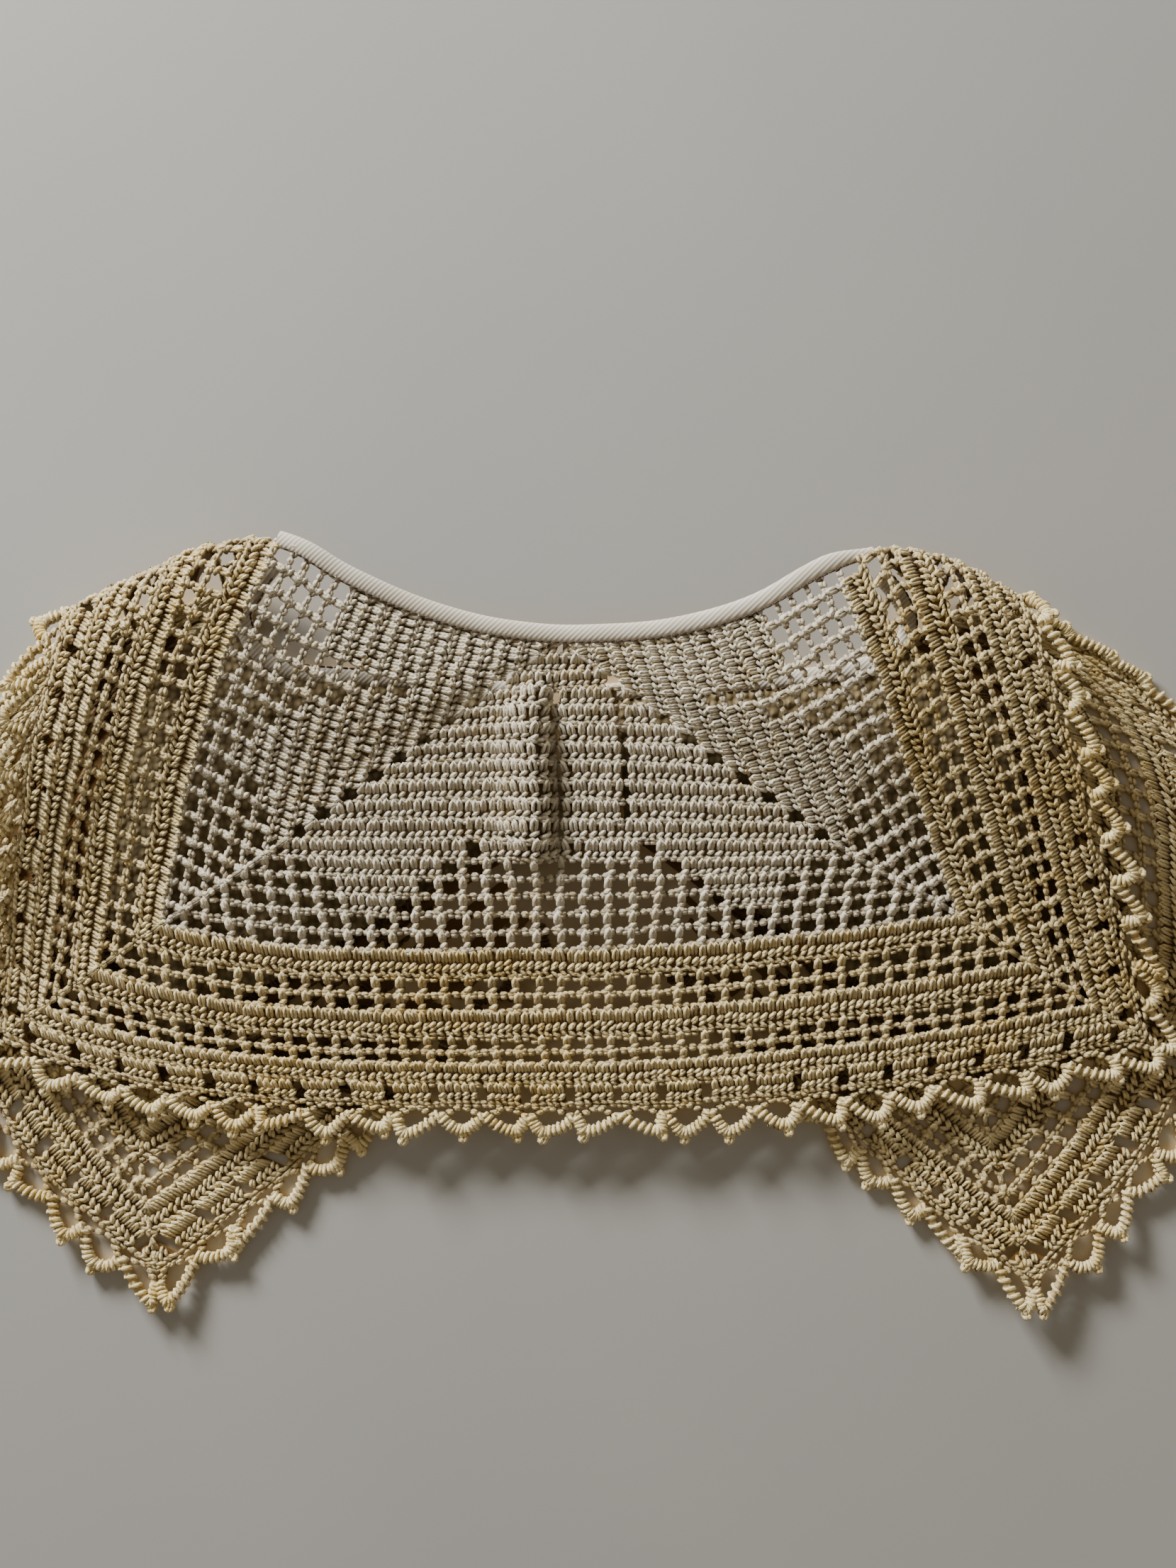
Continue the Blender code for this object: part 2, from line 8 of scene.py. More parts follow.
import bpy
import numpy as np
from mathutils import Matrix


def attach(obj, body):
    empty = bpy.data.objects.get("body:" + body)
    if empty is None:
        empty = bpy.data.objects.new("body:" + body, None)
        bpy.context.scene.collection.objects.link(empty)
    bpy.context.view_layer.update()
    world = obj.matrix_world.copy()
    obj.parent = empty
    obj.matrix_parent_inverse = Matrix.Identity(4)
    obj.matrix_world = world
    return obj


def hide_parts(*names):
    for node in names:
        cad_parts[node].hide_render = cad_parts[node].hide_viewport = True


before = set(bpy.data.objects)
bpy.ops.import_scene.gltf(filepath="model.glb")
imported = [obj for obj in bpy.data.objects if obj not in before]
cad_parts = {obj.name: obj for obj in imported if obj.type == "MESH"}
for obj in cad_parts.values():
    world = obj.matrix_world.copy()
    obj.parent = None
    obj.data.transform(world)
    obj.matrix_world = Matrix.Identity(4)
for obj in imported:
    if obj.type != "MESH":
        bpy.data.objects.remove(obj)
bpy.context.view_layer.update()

# One square of the net, metres, and the rows of the two yarns
MESH = 0.0072
YOKE_ROWS = 17
BORDER_ROWS = 26

# The shoulders' rolled folds, metres, and the row where each reaches its neck's peak
ROLL_REACH = 0.020
ROLL_UNDER = 0.012
ROLL_FLOOR = 0.0054
PEAK_ROW_LEFT = 17.3
PEAK_ROW_RIGHT = 19.5

# Pleat at the middle of the back: columns, metres and rows
PLEAT_HALF = 2.8
PLEAT_HEIGHT = 0.0055
PLEAT_DEPTH = 0.0036
PLEAT_ROWS = 12.0
RIDGE_END = 0.4
CREASE_AT = 0.12
CREASE_WIDE = 0.38

# From the lay's own zero, given below, to the frame's
SHIFT = np.array([0.00265, -0.0031, 0.0])
MM = 0.001

# Lines of the lay: row of crochet, x, y, height of the underside, all in millimetres
MITRE_LEFT = [(0, -9.1, 89.7, 15), (3, -31.8, 73.0, 15), (7, -62.0, 50.7, 14.5),
              (11, -92.7, 28.4, 13.5), (17, -131.3, 2.5, 10), (21.5, -160.3, -17.2, 6.5),
              (26, -185.1, -34.4, 3.6), (28, -195.4, -42.3, 3.0)]
MITRE_RIGHT = [(0, -9.1, 89.7, 15), (3, 11.7, 74.5, 15), (7, 43.5, 50.1, 14.5),
               (11, 75.3, 27.7, 13.5), (17, 113.8, 5.2, 10.5), (21.5, 145.3, -16.0, 7.5),
               (26, 176.0, -36.0, 4.4), (28, 188.7, -44.3, 3.4)]
NECK_LEFT = [(0, -9.1, 89.5, 15), (4.2, -31.8, 92.4, 16), (8.2, -52.6, 98.3, 18),
             (12.9, -75.3, 108.3, 20.5), (17.3, -95.3, 118.6, 21), (20, -114.9, 117.6, 15),
             (23, -137.1, 108.3, 13), (26, -159.9, 97.9, 12), (28, -174.6, 90.6, 11)]
NECK_RIGHT = [(0, -9.1, 89.5, 15), (6.6, 25.2, 91.7, 17), (12.2, 52.8, 99.6, 20),
              (16.1, 70.2, 109.5, 21.5), (19.5, 88.3, 115.8, 21), (22, 105.4, 114.6, 15),
              (26, 132.5, 101.9, 12), (28, 145.8, 95.4, 11)]
FRONT_MITRE_LEFT = [(0, -12.4, 72.5, 0), (8, -74.5, 26.5, 0), (14, -117.7, -10.6, 0),
                    (17, -134.3, -36.7, 0), (21, -139.8, -69.3, 0), (26, -134.5, -110.2, 1.6),
                    (28, -135.0, -123.0, 2.2)]
FRONT_MITRE_RIGHT = [(0, -5.8, 71.4, 0), (8, 56.3, 26.0, 0), (14, 99.5, -12.8, 0),
                     (17, 117.2, -38.3, 0), (21, 127.0, -72.4, 0.4), (26, 138.0, -111.9, 4.2),
                     (28, 140.4, -124.4, 5.0)]
FRONT_NECK_LEFT = [(0, -12.4, 72.5, 0), (6, -46.8, 75.9, 0), (10, -73.4, 77.6, 0),
                   (13, -96.5, 80.5, 0), (15, -107.5, 89.0, 0), (17, -110.5, 101.5, 0),
                   (20, -120.5, 103.5, 0), (23, -138.0, 99.5, 0), (26, -155.5, 94.5, 0),
                   (28, -163.0, 93.0, 0)]
FRONT_NECK_RIGHT = [(0, -5.8, 71.4, 0), (6, 28.6, 74.8, 0), (10, 55.2, 76.3, 0),
                    (14, 85.1, 80.4, 0), (17, 99.0, 87.0, 0), (19.5, 107.5, 94.0, 0),
                    (22, 118.2, 98.0, 0), (26, 137.0, 98.2, 0), (28, 144.0, 97.5, 0)]
OPENING_LEFT = [(0, -12.4, 72.5, 0), (17, -14.6, 33.0, 0), (26, -15.7, 2.7, 0),
                (28, -8.2, -5.0, 0)]
OPENING_RIGHT = [(0, -5.8, 71.4, 0), (17, 8.0, 36.0, 0), (26, 29.0, -5.0, 0),
                 (28, 22.0, -13.0, 0)]

# The front tapes' climb from their last row to the back's tape: x, y, z, millimetres
DESCENT_LEFT = [(-105.2, 102.0, 2.6), (-103.0, 106.5, 6.0), (-99.5, 110.5, 10.0),
                (-95.5, 113.5, 13.5)]
DESCENT_RIGHT = [(100.5, 95.5, 2.6), (97.5, 101.0, 6.5), (93.5, 106.0, 10.5),
                 (89.0, 109.5, 14.0)]

# How far each row bows outwards between its two ends: row, millimetres
BOW_BACK = [(0, 0.0), (11, 0.0), (17, 9.6), (26, 21.4), (28, 23.2)]
BOW_SIDE_LEFT = [(0, 0.0), (8, 0.5), (17, 5.5), (26, 4.0), (28, 4.0)]
BOW_SIDE_RIGHT = [(0, 0.0), (17, 0.5), (26, 1.0), (28, 1.0)]
BOW_FRONT_SIDE_LEFT = [(0, 0.0), (6, 4.0), (17, 30.0), (26, 59.0), (28, 65.0)]
BOW_FRONT_SIDE_RIGHT = [(0, 0.0), (6, 4.0), (17, 31.0), (26, 62.0), (28, 68.0)]
BOW_FRONT = [(0, 0.0), (17, 0.0), (26, 6.0), (28, 7.0)]

# Heights across the lay: row, millimetres
BACK_MIDDLE = [(0, 15.0), (11, 12.5), (17, 10.0), (26, 7.0), (28, 6.0)]
ROLL_CREST = [(0, 15.3), (8, 18.8), (13, 22.0), (17, 25.0), (20, 25.5), (23, 25.0),
              (26, 23.0), (28, 22.0)]


def lookup(table, row):
    """Every column of a table at the given rows, on a smooth curve through its lines."""
    values = np.array(table, dtype=float)
    keys = values[:, 0]
    columns = values[:, 1:] * MM
    slopes = np.gradient(columns, keys, axis=0)
    row = np.atleast_1d(np.asarray(row, dtype=float))
    place = np.clip(np.searchsorted(keys, row, side="right") - 1, 0, len(keys) - 2)
    span = (keys[place + 1] - keys[place])[:, None]
    share = ((row - keys[place]) / span[:, 0])[:, None]
    before = columns[place] * (2 * share ** 3 - 3 * share ** 2 + 1)
    after = columns[place + 1] * (3 * share ** 2 - 2 * share ** 3)
    leaving = slopes[place] * span * (share ** 3 - 2 * share ** 2 + share)
    arriving = slopes[place + 1] * span * (share ** 3 - share ** 2)
    return before + after + leaving + arriving


def smooth_step(share):
    """An S-shaped rise from 0 to 1."""
    share = np.clip(share, 0.0, 1.0)
    return share * share * (3.0 - 2.0 * share)


def pleat_height(column, row):
    """The soft ridge left of the back's middle and the deep crease beside it."""
    on_ridge = np.clip((column + PLEAT_HALF) / (PLEAT_HALF - RIDGE_END), 0.0, 1.0)
    ridge = PLEAT_HEIGHT * np.sin(math.pi * on_ridge ** 2.4) ** 0.7
    crease = -PLEAT_DEPTH * np.exp(-((column + CREASE_AT) / CREASE_WIDE) ** 2)
    fade = smooth_step((PLEAT_ROWS + 1.5 - row) / 3.0) * smooth_step((row - 1.0) / 4.0)
    clear_of_mitres = smooth_step((row - np.abs(column) - 0.7) / 2.0)
    return (ridge + crease) * fade * clear_of_mitres


class Panel:
    """One wedge of the square, between a mitre and its other end, worked in rows.

    A front lies flat, so it is raised only near its two ends, over these shares of
    a row.
    """

    POINTS = 81
    NEAR_END = 0.4
    FAR_END = 0.25

    def __init__(self, mitre, end, bow, powers, turn, kind):
        self.mitre = mitre
        self.end = end
        self.bow = bow
        self.powers = powers
        self.turn = turn
        self.kind = kind

    def plan(self, row, share):
        """Points of one row seen from above, with its ends' heights."""
        first = lookup(self.mitre, row)[0]
        last = lookup(self.end, row)[0]
        chord = last - first
        length = max(math.hypot(chord[0], chord[1]), 1e-6)
        outward = np.array([-chord[1], chord[0]]) / length * self.turn
        side = 2.0 * share - 1.0
        power = np.where(side < 0.0, self.powers[0], self.powers[1])
        bow = lookup(self.bow, row)[0, 0] * (1.0 - np.abs(side) ** power)
        flat = first[:2] + chord[:2] * share[:, None] + outward * bow[:, None]
        return flat, first[2], last[2]

    def path(self, row):
        """A row's own line in space and the mesh count at each of its points."""
        share = np.linspace(0.0, 1.0, self.POINTS)
        flat, start_z, end_z = self.plan(row, share)
        if self.kind == "back":
            middle = lookup(BACK_MIDDLE, row)[0, 0]
            level = start_z + (end_z - start_z) * share
            height = level + (middle - (start_z + end_z) / 2) * 4 * share * (1 - share)
            column = (2.0 * share - 1.0) * row
            height = height + pleat_height(column, row)
            line = np.column_stack([flat, height])
            return line, share * 2.0 * row
        if self.kind == "front":
            near = np.clip(1.0 - share / self.NEAR_END, 0.0, 1.0) ** 2
            far = np.clip((share - 1.0 + self.FAR_END) / self.FAR_END, 0.0, 1.0) ** 2
            height = np.maximum(start_z * near + end_z * far, 0.0)
            line = np.column_stack([flat, height])
            return line, self.meshes(line, row)
        return self.side_path(row, flat, start_z, end_z)

    def side_path(self, row, flat, start_z, end_z):
        """A shoulder row climbs to the roll's crest and, past the neck, turns under it."""
        steps = np.hypot(*np.diff(flat, axis=0).T)
        run = np.concatenate([[0.0], np.cumsum(steps)])
        total = run[-1]
        reach = min(ROLL_REACH, 0.5 * total)
        from_end = total - run
        crest = lookup(ROLL_CREST, row)[0, 0]
        near = np.clip(1.0 - from_end / reach, 0.0, 1.0)
        fullness = 1.0 - 0.5 * smooth_step((row - 15.5) / 3.0)
        rounded = end_z + (crest - end_z) * np.clip(1.0 - near ** 2, 0.0, 1.0) ** fullness
        climb = smooth_step(run / max(total - reach, 1e-6))
        height = np.where(from_end < reach, rounded, start_z + (crest - start_z) * climb)
        line = np.column_stack([flat, height])
        if row > self.peak_row():
            line = np.vstack([line, self.under(row, line[-1])])
        return line, self.meshes(line, row)

    def peak_row(self):
        return PEAK_ROW_LEFT if self.turn > 0 else PEAK_ROW_RIGHT

    def under(self, row, edge):
        """The quarter turn below the roll, back towards the cloth's middle."""
        along = lookup(self.end, row + 0.5)[0] - lookup(self.end, row - 0.5)[0]
        inward = np.array([-along[1], along[0]]) / math.hypot(along[0], along[1])
        if inward[1] > 0.0:
            inward = -inward
        angle = np.linspace(0.0, math.pi / 2, 13)[1:]
        depth = smooth_step((row - self.peak_row()) / 3.0) * 0.85 + 0.15
        reach = ROLL_UNDER * depth * (1.0 - np.cos(angle))
        drop = (edge[2] - ROLL_FLOOR) * depth * np.sin(angle)
        return np.column_stack([edge[0] + inward[0] * reach, edge[1] + inward[1] * reach,
                                edge[2] - drop])

    def meshes(self, line, row):
        """Mesh count from the mitre at each point: a row of the yoke has as many as rows."""
        steps = np.linalg.norm(np.diff(line, axis=0), axis=1)
        run = np.concatenate([[0.0], np.cumsum(steps)])
        if row <= YOKE_ROWS:
            return run / run[-1] * row
        settle = smooth_step((row - YOKE_ROWS) / 3.0)
        yoke_line, yoke_count = self.path(float(YOKE_ROWS))
        yoke_steps = np.linalg.norm(np.diff(yoke_line, axis=0), axis=1)
        yoke_pitch = yoke_steps.sum() / yoke_count[-1]
        return run / (yoke_pitch + (MESH - yoke_pitch) * settle)


BACK = Panel(MITRE_LEFT, MITRE_RIGHT, BOW_BACK, (4.0, 1.8), -1, "back")
SIDE_LEFT = Panel(MITRE_LEFT, NECK_LEFT, BOW_SIDE_LEFT, (2.0, 2.0), 1, "side")
SIDE_RIGHT = Panel(MITRE_RIGHT, NECK_RIGHT, BOW_SIDE_RIGHT, (2.0, 2.0), -1, "side")
FRONT_SIDE_LEFT = Panel(FRONT_MITRE_LEFT, FRONT_NECK_LEFT, BOW_FRONT_SIDE_LEFT, (2.0, 2.9),
                        1, "front")
FRONT_SIDE_RIGHT = Panel(FRONT_MITRE_RIGHT, FRONT_NECK_RIGHT, BOW_FRONT_SIDE_RIGHT,
                         (1.9, 3.6), -1, "front")
FRONT_LEFT = Panel(FRONT_MITRE_LEFT, OPENING_LEFT, BOW_FRONT, (2.0, 2.0), -1, "front")
FRONT_RIGHT = Panel(FRONT_MITRE_RIGHT, OPENING_RIGHT, BOW_FRONT, (2.0, 2.0), 1, "front")


def sampled(places, marks, line):
    """Points of a line at the given places along its marks."""
    return np.stack([np.interp(places, marks, line[:, axis]) for axis in range(3)], axis=-1)


def unit(vectors):
    """Vectors of the same directions, one metre long."""
    return vectors / (np.linalg.norm(vectors, axis=-1)[..., None] + 1e-12)


class Cloth:
    """A panel's surface, asked for points by column, row and lift off the surface."""

    ROW_STEP = 0.25
    MARKS = 161
    LAST_GAP = 0.001

    def __init__(self, panel, low, high, covers=None):
        self.covers = covers
        self.low = low
        self.high = high
        self.rows = np.arange(low, high + self.LAST_GAP, self.ROW_STEP)
        grid = []
        totals = []
        for row in self.rows:
            line, counts = panel.path(float(row))
            marks = np.linspace(0.0, counts[-1], self.MARKS)
            grid.append(sampled(marks, counts, line))
            totals.append(counts[-1])
        self.totals = np.array(totals)
        self.grid = np.array(grid) + SHIFT
        normal = unit(np.cross(np.gradient(self.grid, axis=1), np.gradient(self.grid, axis=0)))
        faces_down = normal[:, : self.MARKS // 2, 2].mean() < 0.0
        self.normal = -normal if faces_down else normal

    def total(self, row):
        """How many meshes a row is long."""
        return np.interp(row, self.rows, self.totals)

    def at(self, column, row, lift):
        """Points at the given columns and rows, raised by lift along the surface's normal."""
        row = np.clip(row, self.low, self.high - self.LAST_GAP)
        share = np.clip((column + row) / self.total(row), 0.0, 1.0)
        row_place = (row - self.low) / self.ROW_STEP
        row_before = np.clip(row_place.astype(int), 0, len(self.rows) - 2)
        row_part = (row_place - row_before)[..., None]
        mark_place = share * (self.MARKS - 1)
        mark_before = np.clip(mark_place.astype(int), 0, self.MARKS - 2)
        mark_part = (mark_place - mark_before)[..., None]
        found = []
        for field in (self.grid, self.normal):
            near = (field[row_before, mark_before] * (1 - mark_part)
                    + field[row_before, mark_before + 1] * mark_part)
            far = (field[row_before + 1, mark_before] * (1 - mark_part)
                   + field[row_before + 1, mark_before + 1] * mark_part)
            found.append(near * (1 - row_part) + far * row_part)
        surface, normal = found
        return surface + normal * np.asarray(lift)[..., None]


def inside(points, outline):
    """1 where a point lies within the outline seen from above, otherwise 0."""
    crossings = np.zeros(points.shape[:-1], dtype=int)
    for (ax, ay), (bx, by) in zip(outline, np.roll(outline, -1, axis=0)):
        between = (points[..., 1] > ay) != (points[..., 1] > by)
        if ay == by:
            continue
        left = points[..., 0] < ax + (points[..., 1] - ay) * (bx - ax) / (by - ay)
        crossings += between & left
    return crossings % 2


class Yarn:
    """Collects lengths of yarn, then makes one mesh of them.

    A strand has four sides, which keeps the whole collar under a million triangles.
    """

    SIDES = 4
    END_WIDTH = 0.55
    GUIDE = np.array([0.31, 0.17, 0.93])

    def __init__(self):
        self.points = []
        self.quads = []
        self.caps = []
        self.threads = []
        self.painted_shades = []
        self.count = 0

    def lay(self, paths, radius, depth=0.0):
        """Add lengths of yarn, each a path with the same number of points."""
        number, knots, _ = paths.shape
        if number == 0:
            return
        along = unit(np.gradient(paths, axis=1))
        first = unit(np.cross(along, self.GUIDE))
        second = np.cross(along, first)
        taper = np.ones(knots)
        taper[[0, -1]] = self.END_WIDTH
        width = np.asarray(radius, dtype=float).reshape(-1, 1) * taper
        turns = np.linspace(0.0, 2 * math.pi, self.SIDES, endpoint=False)
        ring = (first[:, :, None, :] * np.cos(turns)[:, None]
                + second[:, :, None, :] * np.sin(turns)[:, None])
        points = paths[:, :, None, :] + ring * width[:, :, None, None]
        self.points.append(points.reshape(-1, 3))
        self.add_faces(number, knots)
        self.add_threads(paths)
        # depth is the painted shade of each point: 0 bare, 1 deep in the stitches, 2 under the
        # upper layer
        depth = np.broadcast_to(np.asarray(depth, dtype=float), (number, knots))
        self.painted_shades.append(np.repeat(depth.ravel(), self.SIDES))
        self.count += number * knots * self.SIDES

    def add_faces(self, number, knots):
        """The sides of each strand and the caps at its two ends."""
        index = np.arange(number * knots * self.SIDES).reshape(number, knots, self.SIDES)
        index += self.count
        beside = np.roll(index, -1, axis=2)
        quads = np.stack([index[:, :-1], beside[:, :-1], beside[:, 1:], index[:, 1:]], axis=-1)
        self.quads.append(quads.reshape(-1, 4))
        self.caps.append(index[:, 0, ::-1].reshape(-1, self.SIDES))
        self.caps.append(index[:, -1].reshape(-1, self.SIDES))

    def add_threads(self, paths):
        """Millimetres along each strand and the share of a turn round it, for the ply."""
        number, knots, _ = paths.shape
        steps = np.linalg.norm(np.diff(paths, axis=1), axis=2)
        length = np.concatenate([np.zeros((number, 1)), np.cumsum(steps, axis=1)], axis=1) / MM
        around = np.arange(self.SIDES) / self.SIDES
        shape = (number, knots, self.SIDES)
        thread = np.stack([np.broadcast_to(length[:, :, None], shape),
                           np.broadcast_to(around, shape)], axis=-1)
        self.threads.append(thread.reshape(-1, 2))

    def make(self, name, material):
        """One object of all the yarn laid so far."""
        points = np.concatenate(self.points)
        corners = np.concatenate(self.quads + self.caps).ravel()
        threads = np.concatenate(self.threads)
        starts = np.arange(0, len(corners), self.SIDES)
        mesh = bpy.data.meshes.new(name)
        mesh.vertices.add(len(points))
        mesh.vertices.foreach_set("co", points.ravel())
        mesh.loops.add(len(corners))
        mesh.loops.foreach_set("vertex_index", corners.astype(np.int32))
        mesh.polygons.add(len(starts))
        mesh.polygons.foreach_set("loop_start", starts.astype(np.int32))
        layer = mesh.uv_layers.new(name="ply")
        layer.data.foreach_set("uv", threads[corners].astype(np.float32).ravel())
        set_painted_shade(mesh, np.concatenate(self.painted_shades))
        mesh.update(calc_edges=True)
        mesh.shade_smooth()
        return place(name, mesh, material)


def set_painted_shade(mesh, painted_shades):
    """Painted shade at each point, by how deep in the stitches it lies: 0 bare, 1 inside, 2 under
    the upper layer.
    """
    painted_shade = mesh.attributes.new("painted_shade", "FLOAT", "POINT")
    painted_shade.data.foreach_set("value", painted_shades.astype(np.float32))


def place(name, mesh, material):
    """One object of a mesh and its material, in the scene."""
    obj = bpy.data.objects.new(name, mesh)
    bpy.context.scene.collection.objects.link(obj)
    obj.data.materials.append(material)
    return obj


# Materials

def linear(code):
    """An sRGB hex colour as linear RGBA."""
    values = [int(code[i:i + 2], 16) / 255 for i in (0, 2, 4)]
    return [v / 12.92 if v <= 0.04045 else ((v + 0.055) / 1.055) ** 2.4
            for v in values] + [1.0]


def add_node(tree, kind, settings=None, sockets=None, links=None):
    """One node with its settings, socket values and links from other nodes."""
    node = tree.nodes.new(kind)
    for key, value in (settings or {}).items():
        setattr(node, key, value)
    for key, value in (sockets or {}).items():
        node.inputs[key].default_value = value
    for key, source in (links or {}).items():
        tree.links.new(source, node.inputs[key])
    return node


def set_stops(ramp, stops):
    """Give a colour ramp its two stops, each a position and a hex colour."""
    for element, (position, code) in zip(ramp.color_ramp.elements, stops):
        element.position = position
        element.color = linear(code)


def new_material(name, roughness, sheen):
    """A principled material with the IOR of cotton and paint, 1.5."""
    material = bpy.data.materials.new(name)
    material.use_nodes = True
    shader = material.node_tree.nodes["Principled BSDF"]
    shader.inputs["Roughness"].default_value = roughness
    shader.inputs["IOR"].default_value = 1.5
    shader.inputs["Sheen Weight"].default_value = sheen
    shader.inputs["Sheen Roughness"].default_value = 0.5
    return material, material.node_tree, shader


def cotton_yarn(name, pale, worn, inner, under):
    """Mercerised crochet cotton: plied, so fine slanting lines run along every strand.

    Old cotton is bleached where it is handled. The amber inside the stitches is painted shade,
    and what lies under the upper layer is painted dimmer again, as deeper shade.
    """
    material, tree, shader = new_material(name, 0.62, 0.15)
    position = add_node(tree, "ShaderNodeTexCoord")
    ply_map = add_node(tree, "ShaderNodeUVMap", {"uv_map": "ply"})
    parts = add_node(tree, "ShaderNodeSeparateXYZ", links={0: ply_map.outputs[0]})
    # Two plies, one full twist every 1.6 mm
    twist = add_node(tree, "ShaderNodeMath", {"operation": "MULTIPLY_ADD"},
                     {1: 2 * math.pi / 1.6}, {0: parts.outputs["X"]})
    around = add_node(tree, "ShaderNodeMath", {"operation": "MULTIPLY_ADD"},
                      {1: 4 * math.pi}, {0: parts.outputs["Y"], 2: twist.outputs[0]})
    ply = add_node(tree, "ShaderNodeMath", {"operation": "SINE"}, links={0: around.outputs[0]})
    # Fibre grain of 0.3 mm, drawn at 0.6 mm so that it shows
    grain = add_node(tree, "ShaderNodeTexNoise", sockets={"Scale": 1 / 0.0006, "Detail": 2.0},
                     links={"Vector": position.outputs["Object"]})
    relief = add_node(tree, "ShaderNodeMath", {"operation": "MULTIPLY_ADD"}, {1: 0.35},
                      {0: ply.outputs[0], 2: grain.outputs["Fac"]})
    bump = add_node(tree, "ShaderNodeBump", sockets={"Strength": 0.8, "Distance": 0.0002},
                    links={"Height": relief.outputs[0]})
    # Uneven bleach and handling, in patches of 3 mm and 35 mm
    patch = add_node(tree, "ShaderNodeTexNoise", sockets={"Scale": 1 / 0.003, "Detail": 1.0},
                     links={"Vector": position.outputs["Object"]})
    wide = add_node(tree, "ShaderNodeTexNoise", sockets={"Scale": 1 / 0.035, "Detail": 2.0},
                    links={"Vector": position.outputs["Object"]})
    both = add_node(tree, "ShaderNodeMath", {"operation": "ADD"},
                    links={0: patch.outputs["Fac"], 1: wide.outputs["Fac"]})
    ramp = add_node(tree, "ShaderNodeValToRGB", links={"Fac": both.outputs[0]})
    set_stops(ramp, [(0.75, worn), (1.0, pale)])
    # Painted shade: amber where a point lies deep in its stitch, darker still under the upper
    # layer
    painted_shade = add_node(tree, "ShaderNodeAttribute", {"attribute_name": "painted_shade"})
    recess_shade_mix = add_node(tree, "ShaderNodeMix", {"data_type": "RGBA"}, {7: linear(inner)},
                         {0: painted_shade.outputs["Fac"], 6: ramp.outputs["Color"]})
    covered = add_node(tree, "ShaderNodeMath", {"operation": "SUBTRACT"}, {1: 1.0},
                       {0: painted_shade.outputs["Fac"]})
    mixed = add_node(tree, "ShaderNodeMix", {"data_type": "RGBA"}, {7: linear(under)},
                     {0: covered.outputs[0], 6: recess_shade_mix.outputs[2]})
    tree.links.new(mixed.outputs[2], shader.inputs["Base Color"])
    tree.links.new(bump.outputs["Normal"], shader.inputs["Normal"])
    return material


def covered_crochet(name):
    """Crochet that only shows through the holes above it, dim and olive in their shade."""
    material, tree, shader = new_material(name, 0.8, 0.0)
    position = add_node(tree, "ShaderNodeTexCoord")
    # One stitch, 2.4 mm by 2.9 mm
    size = add_node(tree, "ShaderNodeMapping", {}, {"Scale": (1 / 0.0024, 1 / 0.0029, 1.0)},
                    {"Vector": position.outputs["Object"]})
    stitch = add_node(tree, "ShaderNodeTexVoronoi", {"feature": "SMOOTH_F1"},
                      {"Scale": 1.0, "Smoothness": 0.4, "Randomness": 0.6},
                      {"Vector": size.outputs[0]})
    bump = add_node(tree, "ShaderNodeBump", {"invert": True},
                    {"Strength": 1.0, "Distance": 0.0012}, {"Height": stitch.outputs["Distance"]})
    # Painted shade: lighter at the middle of each stitch, darker towards its edges
    ramp = add_node(tree, "ShaderNodeValToRGB", links={"Fac": stitch.outputs["Distance"]})
    set_stops(ramp, [(0.15, "B9A67C"), (0.75, "6C5C3A")])
    tree.links.new(ramp.outputs["Color"], shader.inputs["Base Color"])
    tree.links.new(bump.outputs["Normal"], shader.inputs["Normal"])
    return material


def bias_tape(name):
    """Woven cotton twill tape: smooth, with fine ribs on the slant and painted shade in the
    grooves between them.
    """
    material, tree, shader = new_material(name, 0.7, 0.15)
    position = add_node(tree, "ShaderNodeTexCoord")
    # Twill ribs 0.7 mm apart, drawn 1.2 mm apart so that they show. The wave node's bands
    # are two pi over twenty times its scale apart
    turn = add_node(tree, "ShaderNodeMapping", {}, {"Rotation": (0, 0, math.radians(45))},
                    {"Vector": position.outputs["Object"]})
    ribs = add_node(tree, "ShaderNodeTexWave", {"bands_direction": "X"},
                    {"Scale": 2 * math.pi / 0.0012 / 20, "Distortion": 0.5},
                    {"Vector": turn.outputs[0]})
    bump = add_node(tree, "ShaderNodeBump", sockets={"Strength": 0.5, "Distance": 0.00015},
                    links={"Height": ribs.outputs[0]})
    # Handling, in patches of 8 mm
    wear = add_node(tree, "ShaderNodeTexNoise", sockets={"Scale": 1 / 0.008, "Detail": 3.0},
                    links={"Vector": position.outputs["Object"]})
    ramp = add_node(tree, "ShaderNodeValToRGB", links={"Fac": wear.outputs["Fac"]})
    set_stops(ramp, [(0.3, "E6E1D4"), (0.7, "F2EFE6")])
    # Painted shade: darker in the grooves between the ribs
    painted_groove_shade = add_node(tree, "ShaderNodeMapRange", sockets={1: 0.1, 2: 0.8, 3: 0.6, 4: 0.0},
                      links={0: ribs.outputs[0]})
    groove_shaded_colour = add_node(tree, "ShaderNodeMix", {"data_type": "RGBA"}, {7: linear("B9A788")},
                     {0: painted_groove_shade.outputs[0], 6: ramp.outputs["Color"]})
    tree.links.new(groove_shaded_colour.outputs[2], shader.inputs["Base Color"])
    tree.links.new(bump.outputs["Normal"], shader.inputs["Normal"])
    return material


